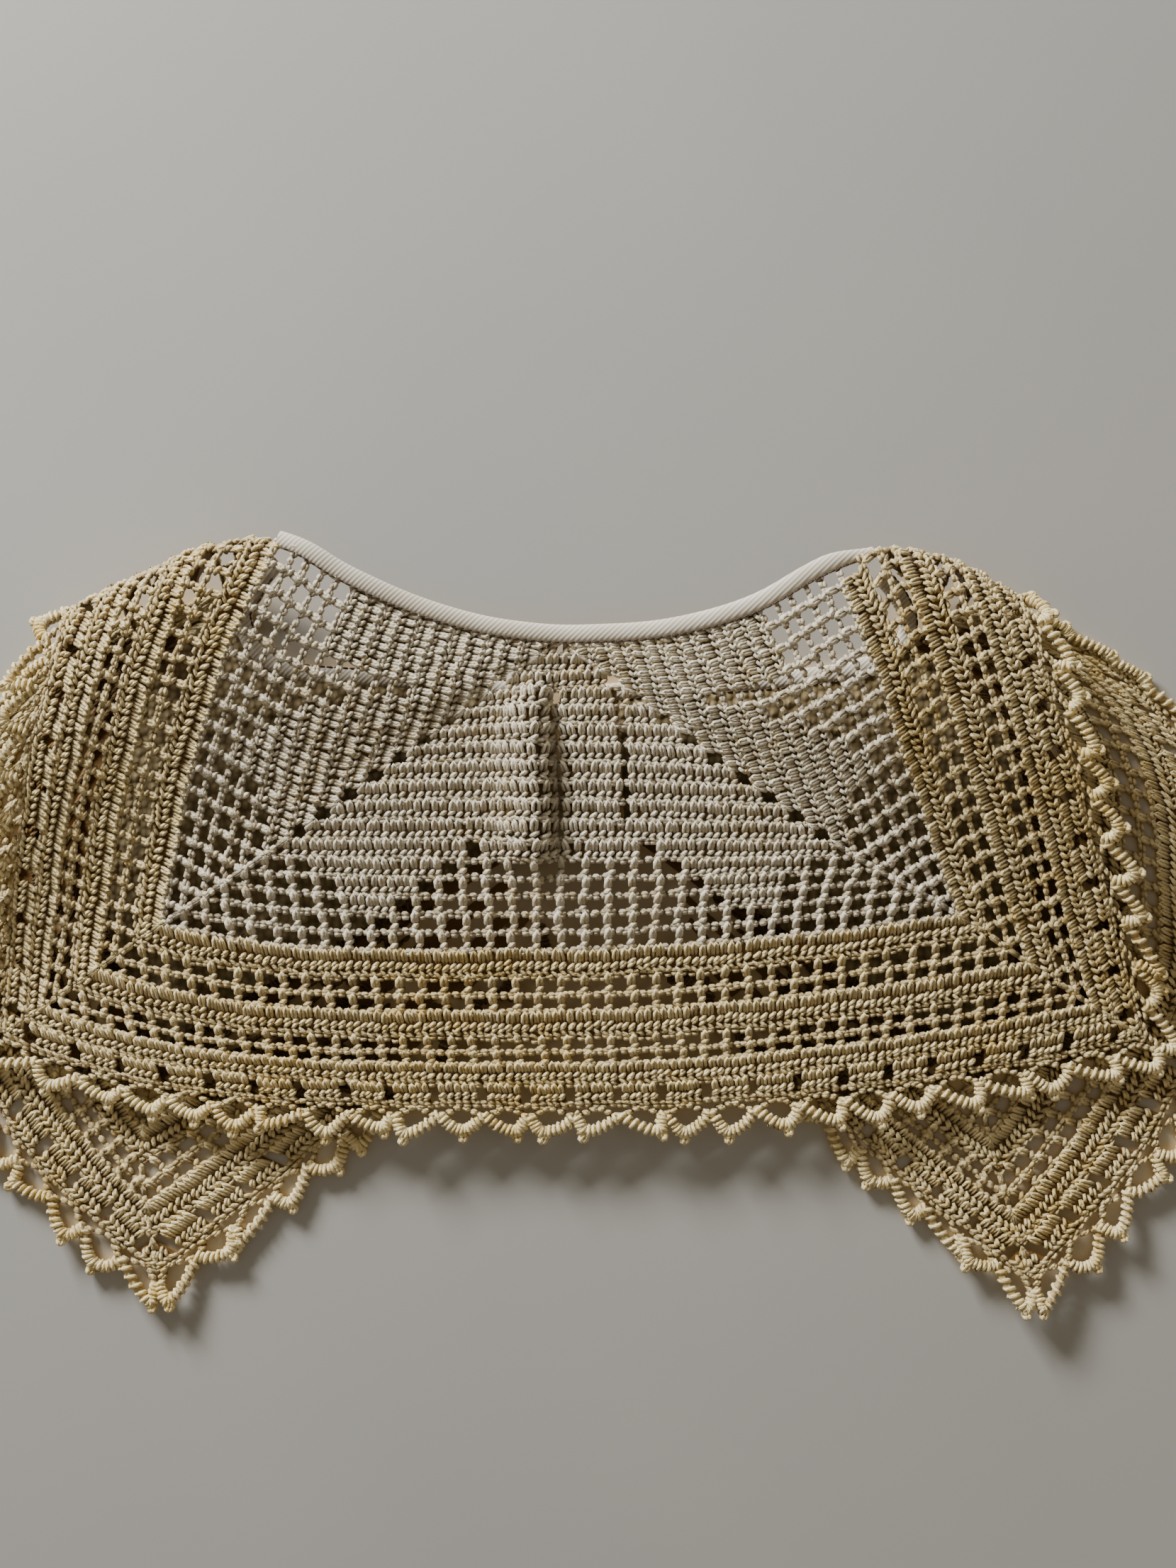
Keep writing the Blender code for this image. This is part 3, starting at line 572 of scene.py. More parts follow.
def table_top(name):
    """Satin-painted table, pale grey with a faint haze of wear."""
    material, tree, shader = new_material(name, 0.55, 0.0)
    position = add_node(tree, "ShaderNodeTexCoord")
    # Haze in patches of 170 mm
    haze = add_node(tree, "ShaderNodeTexNoise", sockets={"Scale": 6.0, "Detail": 3.0},
                    links={"Vector": position.outputs["Object"]})
    ramp = add_node(tree, "ShaderNodeValToRGB", links={"Fac": haze.outputs["Fac"]})
    set_stops(ramp, [(0.3, "AEAFAE"), (0.7, "B4B4B3")])
    # Light that reaches the table through the yarn has turned amber
    open_sky = add_node(tree, "ShaderNodeAmbientOcclusion", {"samples": 4},
                        {"Distance": 0.03})
    share = add_node(tree, "ShaderNodeMapRange", sockets={1: 0.05, 2: 0.6},
                     links={0: open_sky.outputs["AO"]})
    tinted = add_node(tree, "ShaderNodeMix", {"data_type": "RGBA"}, {6: linear("E6C27C")},
                      {0: share.outputs[0], 7: ramp.outputs["Color"]})
    tree.links.new(tinted.outputs[2], shader.inputs["Base Color"])
    return material


# The pattern: which meshes are filled and where the trebles stand

# Outer line of each row of the border, in yoke rows: solid rows sit taller than net
BORDER_LINES = {17: 17.0, 18: 18.4, 19: 19.3, 20: 20.15, 21: 21.5, 22: 22.3, 23: 23.0,
                24: 24.2, 25: 25.45, 26: 26.0}
BORDER_NET = (19, 20, 22, 23)
BLOCK_ROW = 25

# Rows with a small gap at the back's middle, and those of the slit right of its pleat
CENTRE_EYELETS = (1, 4, 6, 7, 8, 9, 10, 11)
SLIT_SQUARE = 2
SLIT_ROWS = (4, 10)

# The yoke is solid down to this row, then only in the petals: row, columns they span
SOLID_ROWS = 11
BACK_PETALS = {12: (4.4, 11), 13: (5.2, 10), 14: (6.2, 9), 15: (7.2, 8.5)}
SIDE_PETALS = {12: (5.5, 11), 13: (6.5, 10), 14: (7.2, 9), 15: (7.8, 8.5)}
NO_PETAL = (99, 99)

# A shoulder's net starts at this row between these two columns, and its outer edge moves
# out by this many columns a row
SIDE_NET_ROW = 8
SIDE_NET_COLUMNS = (3, 3.5)
SIDE_NET_WIDENS = 0.3

# Each mitre is an open square from the first to the last of these rows
MITRE_HOLES = (3, 11)

# Where the trebles of the row of blocks stand in each pair of squares
BLOCK_STEPS = (0.375, 0.69, 1.0, 1.31, 1.625)


def line_of(row):
    """The outer line of a row of stitches, in yoke rows."""
    return BORDER_LINES.get(row, float(row))


def is_solid(middle, row, kind):
    """True where the mesh whose middle is at this column is filled with trebles."""
    if row > YOKE_ROWS:
        return row not in BORDER_NET
    column = abs(middle)
    if kind == "back":
        if column < PLEAT_HALF:
            return row <= PLEAT_ROWS
        if row <= SOLID_ROWS:
            return True
        inner, outer = BACK_PETALS.get(row, NO_PETAL)
        return inner <= column <= outer
    if row < SIDE_NET_ROW or (row <= PLEAT_ROWS and column < SIDE_NET_COLUMNS[0]):
        return True
    if row <= SOLID_ROWS:
        return column >= SIDE_NET_COLUMNS[1] + SIDE_NET_WIDENS * (row - SIDE_NET_ROW + 1)
    inner, outer = SIDE_PETALS.get(row, NO_PETAL)
    return inner <= column <= outer


def has_mitre_holes(row):
    return MITRE_HOLES[0] <= row <= MITRE_HOLES[1]


def at_mitre(square, low, high, kind):
    """True at the squares that meet a mitre: both ends of the back, one of a shoulder."""
    return square == low or (kind == "back" and square == high - 1)


def beside_slit(square, row, kind):
    return kind == "back" and square == SLIT_SQUARE and SLIT_ROWS[0] <= row <= SLIT_ROWS[1]


def row_span(cloth, row, kind):
    """The first and the last whole column of a row."""
    if kind == "back":
        return -row, row
    outer = line_of(row)
    return -row, int(math.floor(cloth.total(outer) - outer))


def treble_columns(cloth, row, kind):
    """Columns of a row's trebles: one beside each square, two more in a filled one."""
    low, high = row_span(cloth, row, kind)
    if row == BLOCK_ROW:
        blocks = [pair + step for pair in range(2 * (low // 2), high, 2)
                  for step in BLOCK_STEPS]
        return np.array([column for column in blocks if low <= column <= high])
    trebles = []
    for square in range(low, high):
        if has_mitre_holes(row) and at_mitre(square, low, high, kind):
            continue
        if not (kind == "back" and square == 0 and row in CENTRE_EYELETS):
            trebles.append(float(square))
        if is_solid(square + 0.5, row, kind):
            trebles.append(square + 1 / 3)
            if not beside_slit(square, row, kind):
                trebles.append(square + 2 / 3)
    stops_short = kind == "back" and has_mitre_holes(row)
    trebles.append(high - 1.0 if stops_short else float(high))
    return np.array(trebles)


def chain_columns(cloth, outer):
    """Columns of the chain along a row's outer line, three to a square."""
    first = -outer
    last = cloth.total(outer) - outer
    number = int(round((last - first) * 3))
    return first + (np.arange(number) + 0.5) * (last - first) / number


# Stitches

# The strands of one treble and one chain: across in stitch widths, down the row, lift in mm
LEGS = np.array([(-0.15, 0.60, 0.1), (-0.25, 0.34, 1.1), (-0.20, 0.02, 1.8),
                 (0.0, -0.13, 2.1), (0.20, 0.02, 1.8), (0.25, 0.34, 1.1),
                 (0.15, 0.60, 0.1)])
KNOT = np.array([(-0.52, 0.70, 0.2), (-0.30, 0.68, 1.2), (0.02, 0.60, 1.7),
                 (0.32, 0.52, 1.3), (0.50, 0.46, 0.3)])
TOP_KNOT = np.array([(0.50, 0.94, 0.3), (0.28, 0.88, 1.2), (-0.04, 0.79, 1.6),
                     (-0.34, 0.73, 1.0), (-0.50, 0.68, 0.2)])
TALL_LEGS = LEGS * np.array([1.0, 0.74, 1.0])
TALL_KNOT = np.array([(-0.48, 0.56, 0.0), (-0.30, 0.56, 1.3), (0.02, 0.48, 1.9),
                      (0.34, 0.42, 1.2), (0.46, 0.40, 0.0)])
CHAIN_NEAR = np.array([(-0.62, 0.95, -0.1), (-0.3, 0.86, 1.0), (0.15, 0.85, 1.4),
                       (0.62, 0.94, 0.1)])
CHAIN_FAR = np.array([(-0.62, 0.93, 0.1), (-0.15, 1.02, 1.4), (0.3, 1.01, 1.0),
                      (0.62, 0.95, -0.1)])
TALL_ROW = 1.1

# The last chain's lift, millimetres, and how far it swings and sits, in row heights
HEM_LIFT = 0.2
HEM_SWING = 0.42
HEM_SET = 0.30

# Radius of the yarn in metres, and how close its stitches are packed
WHITE = (0.00066, 0.86)
ECRU = (0.00061, 1.0)

# How much rounder the yarn is where it stands alone in the net
POST_PLUMP = 1.32
CHAIN_PLUMP = 1.18

# How far a hand strays: stitch widths, row heights, then millimetres
LEAN = 0.20
DRIFT = 0.06
WANDER = 0.25
SWAY = 0.04
UNEVEN_ROW = 0.03
UNEVEN_LIFT = 0.14
EDGE = 0.03

# A point this many millimetres up in its stitch is bare of the painted amber shade of the
# stitches' insides
BARE_LIFT = 1.8
NET_LIFT = -0.2


def work(yarn, cloth, columns, span, shape, luck, ply, lift=0.0, slide=0.0):
    """Work one shape at every given column of a row, between its inner and outer line."""
    number = len(columns)
    if number == 0:
        return
    inner, outer = span
    thick, close = ply
    across, down, up = shape.T
    lean = luck.normal(0.0, LEAN, number)[:, None] * (down - 0.5)
    drift = (luck.normal(0.0, DRIFT, number)
             + WANDER * np.sin(columns * 1.7 + outer * 2.3) * np.sin(columns * 0.6 + outer * 0.9))
    width = close * luck.uniform(0.88, 1.14, number)[:, None]
    column = columns[:, None] + (across * width + lean + drift[:, None]) / 3
    sway = (SWAY * np.sin(columns * 1.1 + outer * 3.1)
            + luck.normal(0.0, UNEVEN_ROW, number) + slide)
    row = inner + (down + sway[:, None]) * (outer - inner)
    raised = up + lift + luck.normal(0.0, UNEVEN_LIFT, number)[:, None]
    column = np.clip(column, EDGE - row, cloth.total(row) - row - EDGE)
    points = cloth.at(column, row, raised * MM)
    radius = thick * luck.uniform(0.92, 1.08, number)
    points[..., 2] = np.maximum(points[..., 2], radius[:, None])
    # Painted shade: amber the deeper a point sits in its stitch, deeper shade again under the
    # upper layer
    painted_shade = np.clip(1.12 - raised / BARE_LIFT, 0.0, 1.0)
    if cloth.covers is not None:
        painted_shade = painted_shade + inside(points, cloth.covers)
    yarn.lay(points, radius, painted_shade)


def uncovered(cloth, columns, row):
    """True where the lower layer isn't under the upper one."""
    if cloth.covers is None:
        return np.ones(len(columns), dtype=bool)
    places = cloth.at(columns, np.full(len(columns), row), np.zeros(len(columns)))
    return inside(places, cloth.covers) == 0


def plumped(ply, columns, row, kind, share):
    """Yarn that stands alone in the net is rounder than yarn packed in a solid row."""
    alone = [not is_solid(column - 0.17, row, kind) and not is_solid(column + 0.17, row, kind)
             for column in columns]
    return ply[0] * np.where(alone, share, 1.0), ply[1]


def loop_count(cloth):
    """Loops of the edging: one for every two squares of the last row."""
    return max(1, round(float(cloth.total(BORDER_ROWS)) / 2.0))


def last_chain(yarn, cloth, chain, span, luck, ply):
    """A chain that dips where each loop of the edging hangs from it."""
    share = (chain + span[1]) / float(cloth.total(span[1]))
    dip = HEM_SWING * np.cos(2 * math.pi * loop_count(cloth) * share) - HEM_SET
    for shape in (CHAIN_NEAR, CHAIN_FAR):
        work(yarn, cloth, chain, span, shape, luck, ply, HEM_LIFT, dip)


def stitch_row(yarn, cloth, row, kind, trebles, chain, luck, ply):
    """Trebles and the chain over them. What the upper layer covers is left simpler."""
    span = (line_of(row - 1), line_of(row))
    shapes = [LEGS, KNOT, TOP_KNOT]
    if span[1] - span[0] > TALL_ROW:
        shapes = [TALL_LEGS, TALL_KNOT, KNOT, TOP_KNOT]
    lift = NET_LIFT if row in BORDER_NET else 0.0
    seen = trebles[uncovered(cloth, trebles, span[1])]
    for number, shape in enumerate(shapes):
        chosen = trebles if number == 0 else seen
        work(yarn, cloth, chosen, span, shape, luck,
             plumped(ply, chosen, row, kind, POST_PLUMP), lift)
    seen_chain = chain[uncovered(cloth, chain, span[1])]
    for chosen, shape in ((seen_chain, CHAIN_NEAR), (chain, CHAIN_FAR)):
        work(yarn, cloth, chosen, span, shape, luck,
             plumped(ply, chosen, row, kind, CHAIN_PLUMP))


def crochet(name, cloth, rows, kind, material, ply, seed, keep=None):
    """All the stitches of a panel between two rows."""
    yarn = Yarn()
    luck = np.random.default_rng(seed)
    for row in range(rows[0], rows[1] + 1):
        trebles = treble_columns(cloth, row, kind)
        chain = chain_columns(cloth, line_of(row))
        if keep is not None:
            trebles = trebles[keep(trebles, row)]
            chain = chain[keep(chain, row)]
        if row == BORDER_ROWS:
            last_chain(yarn, cloth, chain, (line_of(row - 1), line_of(row)), luck, ply)
        else:
            stitch_row(yarn, cloth, row, kind, trebles, chain, luck, ply)
    return yarn.make(name, material)


# Backings of the solid rows: millimetres up, and how much they stop short, in rows

GROUND_LIFT = 0.45
GROUND_GAP = 0.05
GROUND_EDGE = 0.02


def cell_share(square, row, kind):
    """The share of a filled square that its backing covers, clear of small gaps."""
    if row == BLOCK_ROW:
        return (0.25, 1.0) if square % 2 == 0 else (0.0, 0.75)
    if kind == "back" and row in CENTRE_EYELETS and square in (-1, 0):
        return (0.0, 0.84) if square == -1 else (0.18, 1.0)
    if beside_slit(square, row, kind):
        return (0.0, 0.55)
    return (0.0, 1.0)


def cell_corners(cloth, left, right, row):
    """The four corners of one backing cell, just over the cloth's underside."""
    inner = line_of(row - 1)
    outer = line_of(row) - GROUND_GAP
    line = np.array([inner, inner, outer, outer])
    column = np.clip(np.array([left, right, right, left]), GROUND_EDGE - line,
                     cloth.total(line) - line - GROUND_EDGE)
    return cloth.at(column, line, np.full(4, GROUND_LIFT * MM))


def ground(name, cloth, rows, kind, material):
    """The backs of the stitches, closing what is worked solid behind the trebles."""
    corners = []
    cells = 0.0
    for row in range(rows[0], rows[1] + 1):
        low, high = row_span(cloth, row, kind)
        for square in range(low, high):
            if has_mitre_holes(row) and at_mitre(square, low, high, kind):
                continue
            if not is_solid(square + 0.5, row, kind):
                continue
            left, right = cell_share(square, row, kind)
            corners.append(cell_corners(cloth, square + left, square + right, row))
            cells += right - left
    corners = np.array(corners)
    crossed = np.cross(corners[:, 2] - corners[:, 0], corners[:, 3] - corners[:, 1])
    area = float(np.linalg.norm(crossed, axis=1).sum()) / 2
    mesh = bpy.data.meshes.new(name)
    faces = np.arange(len(corners) * 4).reshape(-1, 4)
    mesh.from_pydata(corners.reshape(-1, 3).tolist(), [], faces.tolist())
    mesh.validate()
    # Painted shade: the backing, the yarn behind the trebles, is coloured all over as deep in the
    # stitches
    set_painted_shade(mesh, np.ones(len(mesh.vertices)))
    mesh.update()
    return place(name, mesh, material), area, cells


# Edging: a cord wound with stitches, in loops with a picot on each, sizes in metres

CORD = 0.0015
WRAP = 0.00068
WRAPS = 13
CORE_MARKS = 25
CORE_SHARE = 0.85
LOOP_START = 26.02
LOOP_TALL = 1.30
KNOB_OUT = 0.0021
KNOB_LONG = 0.0013
KNOB_WIDE = 0.0012
KNOB_YARN = 0.00075
KNOB_FLOOR = 0.0008
UP = np.array([0.0, 0.0, 1.0])


def loop_core(cloth, index, loops, flattens, luck):
    """The middle line of one loop, which bows out from the edge and comes back."""
    tall = luck.uniform(0.62, 1.0)
    lean = luck.normal(0.0, 0.2)
    tilt = luck.uniform(0.2, 1.9)
    if flattens:
        # The loops lie close to the edge where the shoulder turns under
        tall *= 1.0 - 0.75 * float(smooth_step((index / loops - 0.72) / 0.2))
    share = np.linspace(0.0, 1.0, CORE_MARKS)
    bow = np.sin(math.pi * share)
    out = LOOP_START + LOOP_TALL * tall * bow ** luck.uniform(0.75, 1.25)
    reach = np.clip((index + share + lean * bow ** 2) / loops, 0.002, 0.998)
    core = cloth.at(-out + reach * cloth.total(out), out, (0.9 + tilt * bow) * MM)
    core[:, 2] = np.maximum(core[:, 2], CORD + WRAP)
    return core


def winding(core, index, luck):
    """The yarn that winds round one loop."""
    fine = np.linspace(0.0, 1.0, WRAPS * 8)
    centre = sampled(fine, np.linspace(0.0, 1.0, CORE_MARKS), core)
    tangent = unit(np.gradient(centre, axis=0))
    side = unit(np.cross(tangent, np.array([0.1, 0.05, 1.0])))
    up = np.cross(side, tangent)
    turn = (fine * WRAPS * 2 * math.pi + luck.uniform(0, 6))[:, None]
    wide = CORD * (1.0 + 0.12 * np.sin(fine * 37 + index))[:, None]
    wound = centre + (side * np.cos(turn) + up * np.sin(turn)) * wide
    wound[:, 2] = np.maximum(wound[:, 2], WRAP)
    return wound


def picot_rings(core):
    """Three rings of yarn, each turned further, at the outer end of a loop."""
    top = core[CORE_MARKS // 2]
    away = unit(top - (core[0] + core[-1]) / 2)
    beside = np.cross(away, UP)
    spin = np.linspace(0.0, 2 * math.pi, 9)[:, None]
    rings = []
    for tip in (0.0, 1.3, 2.4):
        across = beside * math.cos(tip) + UP * math.sin(tip)
        ring = (top + away * (KNOB_OUT + KNOB_LONG * np.sin(spin))
                + across * (KNOB_WIDE * np.cos(spin)))
        ring[:, 2] = np.maximum(ring[:, 2], KNOB_FLOOR)
        rings.append(ring)
    return np.array(rings)


def edging(name, cloth, kind, material, seed):
    """The looped edging along the last row of a panel."""
    yarn = Yarn()
    luck = np.random.default_rng(seed)
    loops = loop_count(cloth)
    flattens = kind == "side" and cloth.covers is None
    for index in range(loops):
        core = loop_core(cloth, index, loops, flattens, luck)
        # Painted shade: the core half in amber shade, the yarn round it darker where it lies
        # under the upper layer
        painted_shade = 0.0
        if cloth.covers is not None:
            painted_shade = 1.6 * inside(core[CORE_MARKS // 2], cloth.covers)
        yarn.lay(core[None], CORD * CORE_SHARE, 0.5)
        yarn.lay(winding(core, index, luck)[None], WRAP, painted_shade)
        yarn.lay(picot_rings(core), KNOB_YARN, painted_shade)
    return yarn.make(name, material)


# Neck binding, sizes in metres

TAPE_WIDTH = 0.0058
TAPE_THICK = 0.0033
TAPE_STEP = 0.0012
TAPE_SIDES = 16
TAPE_INSET = 0.0014
TAPE_END = 0.016
TAPE_DROP = 0.006
ON_TABLE = 0.0001

# One machine stitch in steps of the tape, how deep each of its points sits, its radius
SEAM_STEPS = np.array([0.0, 1 / 3, 2 / 3, 1.0, 4 / 3, 1.7])
SEAM_SUNK = np.array([-0.0002, 0.0001, 0.00015, 0.00015, 0.0001, -0.0002])
SEAM_INSET = 0.0003
SEAM_YARN = 0.0003


def crosswise(along):
    """Level directions square to a line's own directions."""
    return unit(np.column_stack([-along[:, 1], along[:, 0], np.zeros(len(along))]))


def tape_line(centre):
    """The tape's middle line in even steps and smoothed, its marks and its length."""
    steps = np.linalg.norm(np.diff(centre, axis=0), axis=1)
    length = np.concatenate([[0.0], np.cumsum(steps)])
    marks = np.arange(0.0, length[-1], TAPE_STEP)
    padded = np.pad(sampled(marks, length, centre), ((4, 4), (0, 0)), mode="reflect",
                    reflect_type="odd")
    kernel = np.ones(9) / 9
    line = np.column_stack([np.convolve(padded[:, axis], kernel, "valid")
                            for axis in range(3)])
    return line, marks, float(length[-1])


def tape_fold(name, line, across, up, marks, narrow, material):
    """The folded tape: a soft rounded fold with a slight wave, open at its two ends."""
    spin = np.linspace(0.0, 2 * math.pi, TAPE_SIDES, endpoint=False)
    flat = np.copysign(np.abs(np.cos(spin)) ** 0.9, np.cos(spin))
    full = np.copysign(np.abs(np.sin(spin)) ** 0.95, np.sin(spin))
    wave = 1.0 + 0.05 * np.sin(marks / 0.009) + 0.03 * np.sin(marks / 0.0037)
    aside = (flat * narrow[:, None] - (1.0 - narrow[:, None])) * TAPE_WIDTH / 2
    above = full * wave[:, None] * TAPE_THICK / 2
    points = (line[:, None] + across[:, None] * aside[..., None]
              + up[:, None] * above[..., None])
    points[..., 2] = np.maximum(points[..., 2], ON_TABLE)
    index = np.arange(len(line) * TAPE_SIDES).reshape(len(line), TAPE_SIDES)
    beside = np.roll(index, -1, axis=1)
    faces = np.stack([index[:-1], beside[:-1], beside[1:], index[1:]], axis=-1)
    mesh = bpy.data.meshes.new(name)
    mesh.from_pydata(points.reshape(-1, 3).tolist(), [], faces.reshape(-1, 4).tolist())
    mesh.update()
    mesh.shade_smooth()
    return place(name, mesh, material)


def seam_along(name, line, across, up, material):
    """Machine stitching along the tape's open edge, one stitch every 2.4 mm, in dark thread that
    also paints the shadow where the tape meets the crochet.
    """
    seam = line - across * (TAPE_WIDTH / 2 - SEAM_INSET) + up * (TAPE_THICK * 0.30)
    places = np.arange(2, len(seam) - 4, 2)[:, None] + SEAM_STEPS
    paths = sampled(places, np.arange(len(seam)), seam)
    paths[..., 2] += SEAM_SUNK
    stitches = Yarn()
    stitches.lay(paths, SEAM_YARN, 1.0)
    return stitches.make(name, material)


def tape_along(name, centre, ends, cloth_material, thread_material):
    """One run of the binding, its seam, and its length. It narrows towards its ends."""
    line, marks, length = tape_line(centre)
    along = unit(np.gradient(line, axis=0))
    across = crosswise(along)
    up = np.cross(along, across)
    to_end = np.minimum(marks, marks[-1] - marks)
    least = np.where(marks < marks[-1] / 2, ends[0], ends[1])
    narrow = least + (1.0 - least) * smooth_step(to_end / TAPE_END)
    line[:, 2] -= TAPE_DROP * (1.0 - narrow)
    seam = seam_along(name + "_seam", line, across, up, thread_material)
    tape = tape_fold(name, line, across, up, marks, narrow, cloth_material)
    return tape, seam, length


def neck_line(table, rows, lift):
    """The binding's middle line along the rows of a neck edge."""
    line = lookup(table, np.array(rows))
    across = crosswise(np.gradient(line, axis=0))
    if across[0, 1] < 0.0:
        across = -across
    centre = line + across * (TAPE_WIDTH / 2 - TAPE_INSET)
    centre[:, 2] += lift
    return centre + SHIFT


# The pieces, each in the record's one body

# Each yarn's pale and worn tones, then its painted amber shade inside the stitches and its
# painted darker shade under the upper layer
white_yarn = cotton_yarn("white_cotton_yarn", "F6EEDA", "E3D4B1", "6B5323", "665121")
ecru_yarn = cotton_yarn("ecru_cotton_yarn", "F9E8B6", "E6CD8A", "6D4D12", "5A4317")
tape_cloth = bias_tape("cotton_bias_tape")
# The seam's thread: real stitching, made dark to paint the shadow along the tape's edge
seam_and_shadow_thread = cotton_yarn("seam_and_shadow_thread", "6E553A", "5C4530", "4A3626", "3A2A1C")
covered_yarn = covered_crochet("covered_crochet")

# The last row that has a backing
LAST_BACKING = 25


def work_panel(node, cloth, rows, kind, material, ply, seed, keep=None):
    """The stitches and the backing of a panel's yoke or border."""
    stitches = crochet(node + "_stitches", cloth, rows, kind, material, ply, seed, keep)
    backing, area, cells = ground(node + "_backing", cloth,
                                  (rows[0], min(rows[1], LAST_BACKING)), kind, material)
    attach(stitches, "root")
    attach(backing, "root")
    return stitches, backing, area, cells


def work_upper(panel, cloth, kind, seed):
    """The back or a shoulder: its yoke, its border and its edging."""
    yoke, yoke_back, yoke_area, yoke_cells = work_panel(
        panel + "_yoke", cloth, (1, YOKE_ROWS), kind, white_yarn, WHITE, 11 * seed + 1)
    border, border_back, border_area, border_cells = work_panel(
        panel + "_border", cloth, (YOKE_ROWS + 1, BORDER_ROWS), kind, ecru_yarn, ECRU,
        11 * seed + 18)
    loops = edging(panel + "_edging_cord", cloth, kind, ecru_yarn, 70 + seed)
    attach(loops, "root")
    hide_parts(panel + "_yoke")
    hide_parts(panel + "_border")
    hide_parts(panel + "_edging")
    float(cloth.total(BORDER_ROWS))


def edge_seen_from_above(cloths):
    """The upper layer's outline, from the left shoulder round the hem to the right."""
    share = np.linspace(0.02, 0.98, 25)
    last_row = np.full(25, float(BORDER_ROWS))
    outline = []
    for panel, order in (("left_shoulder", share[::-1]), ("back", share),
                         ("right_shoulder", share)):
        cloth = cloths[panel]
        column = -BORDER_ROWS + order * cloth.total(BORDER_ROWS)
        outline.append(cloth.at(column, last_row, np.zeros(25))[:, :2])
    return np.vstack(outline)


def near_tip(columns, row):
    """The part of a front's second border that isn't hidden under the back."""
    return columns + row < 13


def work_front(side, side_panel, front_panel, outline):
    """A front's border, in two runs that meet at its tip. Its yoke is all but hidden."""
    node = side + "_front_border"
    cord = side + "_front_edging"
    for run, panel, keep, stitch_seed, cord_seed in (
            ("_side", side_panel, None, 201, 301),
            ("_front", front_panel, near_tip, 202, 302)):
        cloth = Cloth(panel, 15.0, 28.0, outline)
        stitches, backing, area, cells = work_panel(
            node + run, cloth, (YOKE_ROWS + 1, BORDER_ROWS), "side", ecru_yarn, ECRU,
            stitch_seed, keep)
        loops = edging(cord + run + "_cord", cloth, "side", ecru_yarn, cord_seed)
        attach(loops, "root")
        if run == "_side":
            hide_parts(node)
            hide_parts(cord)


def bind_neck(node, centre, ends):
    """One run of tape and its seam, standing in for the part of that name, which is hidden."""
    tape, seam, length = tape_along(node + "_tape", centre, ends, tape_cloth, seam_and_shadow_thread)
    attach(tape, "root")
    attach(seam, "root")
    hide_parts(node)


def bind_back_neck():
    """The tape round the back of the neck, over both shoulders."""
    inner_rows = [0.7] + list(range(1, 17))
    left = neck_line(NECK_LEFT, [17.1] + inner_rows[::-1], 0.0016)
    right = neck_line(NECK_RIGHT, inner_rows + [17, 18.2, 19.3], 0.0016)
    bind_neck("neck_binding_back", np.vstack([left, right]), (0.9, 0.6))


def bind_front_neck(side, table, descent):
    """The tape down a front, which climbs to meet the back's at the shoulder."""
    rows = [1.0, 3.5, 6.0, 8.0, 10.0, 12.0, 13.0, 14.0, 15.0, 16.0, 16.974]
    climb = np.array(descent) * MM + SHIFT
    bind_neck("neck_binding_" + side + "_front",
              np.vstack([neck_line(table, rows, 0.0013), climb]), (1.0, 1.0))


upper_cloths = {"back": Cloth(BACK, 0.25, 28.0),
                "left_shoulder": Cloth(SIDE_LEFT, 0.25, 28.0),
                "right_shoulder": Cloth(SIDE_RIGHT, 0.25, 28.0)}
for seed, (panel, cloth) in enumerate(upper_cloths.items()):
    work_upper(panel, cloth, "back" if panel == "back" else "side", seed)

upper_edge = edge_seen_from_above(upper_cloths)
work_front("left", FRONT_SIDE_LEFT, FRONT_LEFT, upper_edge)
work_front("right", FRONT_SIDE_RIGHT, FRONT_RIGHT, upper_edge)

bind_back_neck()
bind_front_neck("left", FRONT_NECK_LEFT, DESCENT_LEFT)
bind_front_neck("right", FRONT_NECK_RIGHT, DESCENT_RIGHT)

# The front yokes, white yarn under the back, are painted dim and olive for the shade they lie in
for node in ("left_front_yoke", "right_front_yoke"):
    for slot in bpy.data.objects[node].material_slots:
        slot.material = covered_yarn

# Table, light and camera

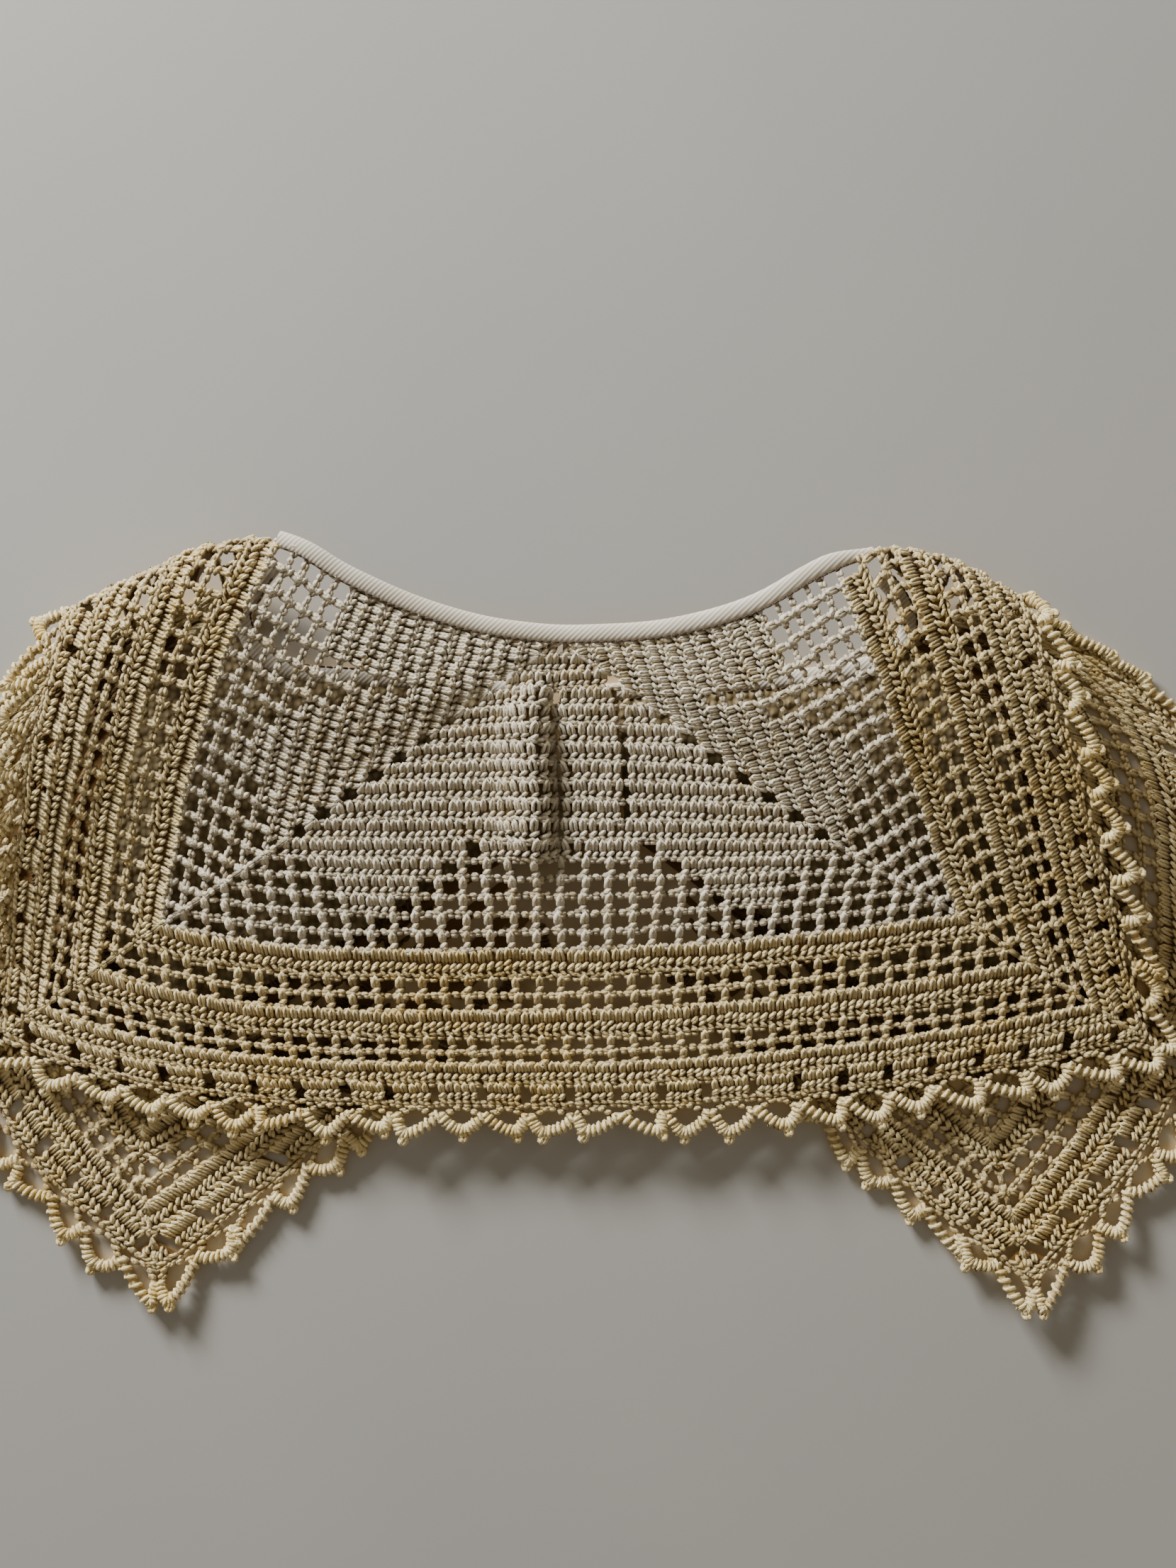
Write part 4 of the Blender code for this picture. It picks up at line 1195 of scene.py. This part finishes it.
TABLE_HALF = 4.0
WINDOW_AT = (-0.90, 1.26, 0.60)
WINDOW_SIZE = (0.72, 0.36)
WINDOW_POWER = 55.0
WINDOW_COLOUR = "FFFDF8"
ROOM_COLOUR = "F2E3C8"
ROOM_STRENGTH = 0.29

# The camera looks straight down from this height on this depth of the table
EYE_AT = np.array([-0.0003, 0.0457, 0.600])
VIEW_DEPTH = 0.491
SENSOR = 24.0


def lay_table():
    corners = [(-TABLE_HALF, -TABLE_HALF, 0), (TABLE_HALF, -TABLE_HALF, 0),
               (TABLE_HALF, TABLE_HALF, 0), (-TABLE_HALF, TABLE_HALF, 0)]
    mesh = bpy.data.meshes.new("table")
    mesh.from_pydata(corners, [], [(0, 1, 2, 3)])
    place("table", mesh, table_top("painted_table"))


def light_window():
    """A window behind the neck and to the left, low over the table."""
    lamp = bpy.data.lights.new("window", "AREA")
    lamp.shape = "RECTANGLE"
    lamp.size, lamp.size_y = WINDOW_SIZE
    lamp.energy = WINDOW_POWER
    lamp.color = linear(WINDOW_COLOUR)[:3]
    window = bpy.data.objects.new("window", lamp)
    bpy.context.scene.collection.objects.link(window)
    window.location = WINDOW_AT
    east, north, up = WINDOW_AT
    pitch = math.atan2(math.hypot(east, north), up)
    window.rotation_euler = (pitch, 0.0, math.atan2(-north, -east) - math.pi / 2)


def light_room():
    """The warm light that the walls give back."""
    world = bpy.data.worlds.new("room")
    bpy.context.scene.world = world
    world.use_nodes = True
    sky = world.node_tree.nodes["Background"]
    sky.inputs["Color"].default_value = linear(ROOM_COLOUR)
    sky.inputs["Strength"].default_value = ROOM_STRENGTH


def set_camera():
    camera = bpy.data.cameras.new("camera")
    camera.sensor_fit = "VERTICAL"
    camera.sensor_height = SENSOR
    camera.lens = SENSOR * EYE_AT[2] / VIEW_DEPTH
    eye = bpy.data.objects.new("camera", camera)
    bpy.context.scene.collection.objects.link(eye)
    eye.location = EYE_AT + SHIFT
    bpy.context.scene.camera = eye


lay_table()
light_window()
light_room()
set_camera()
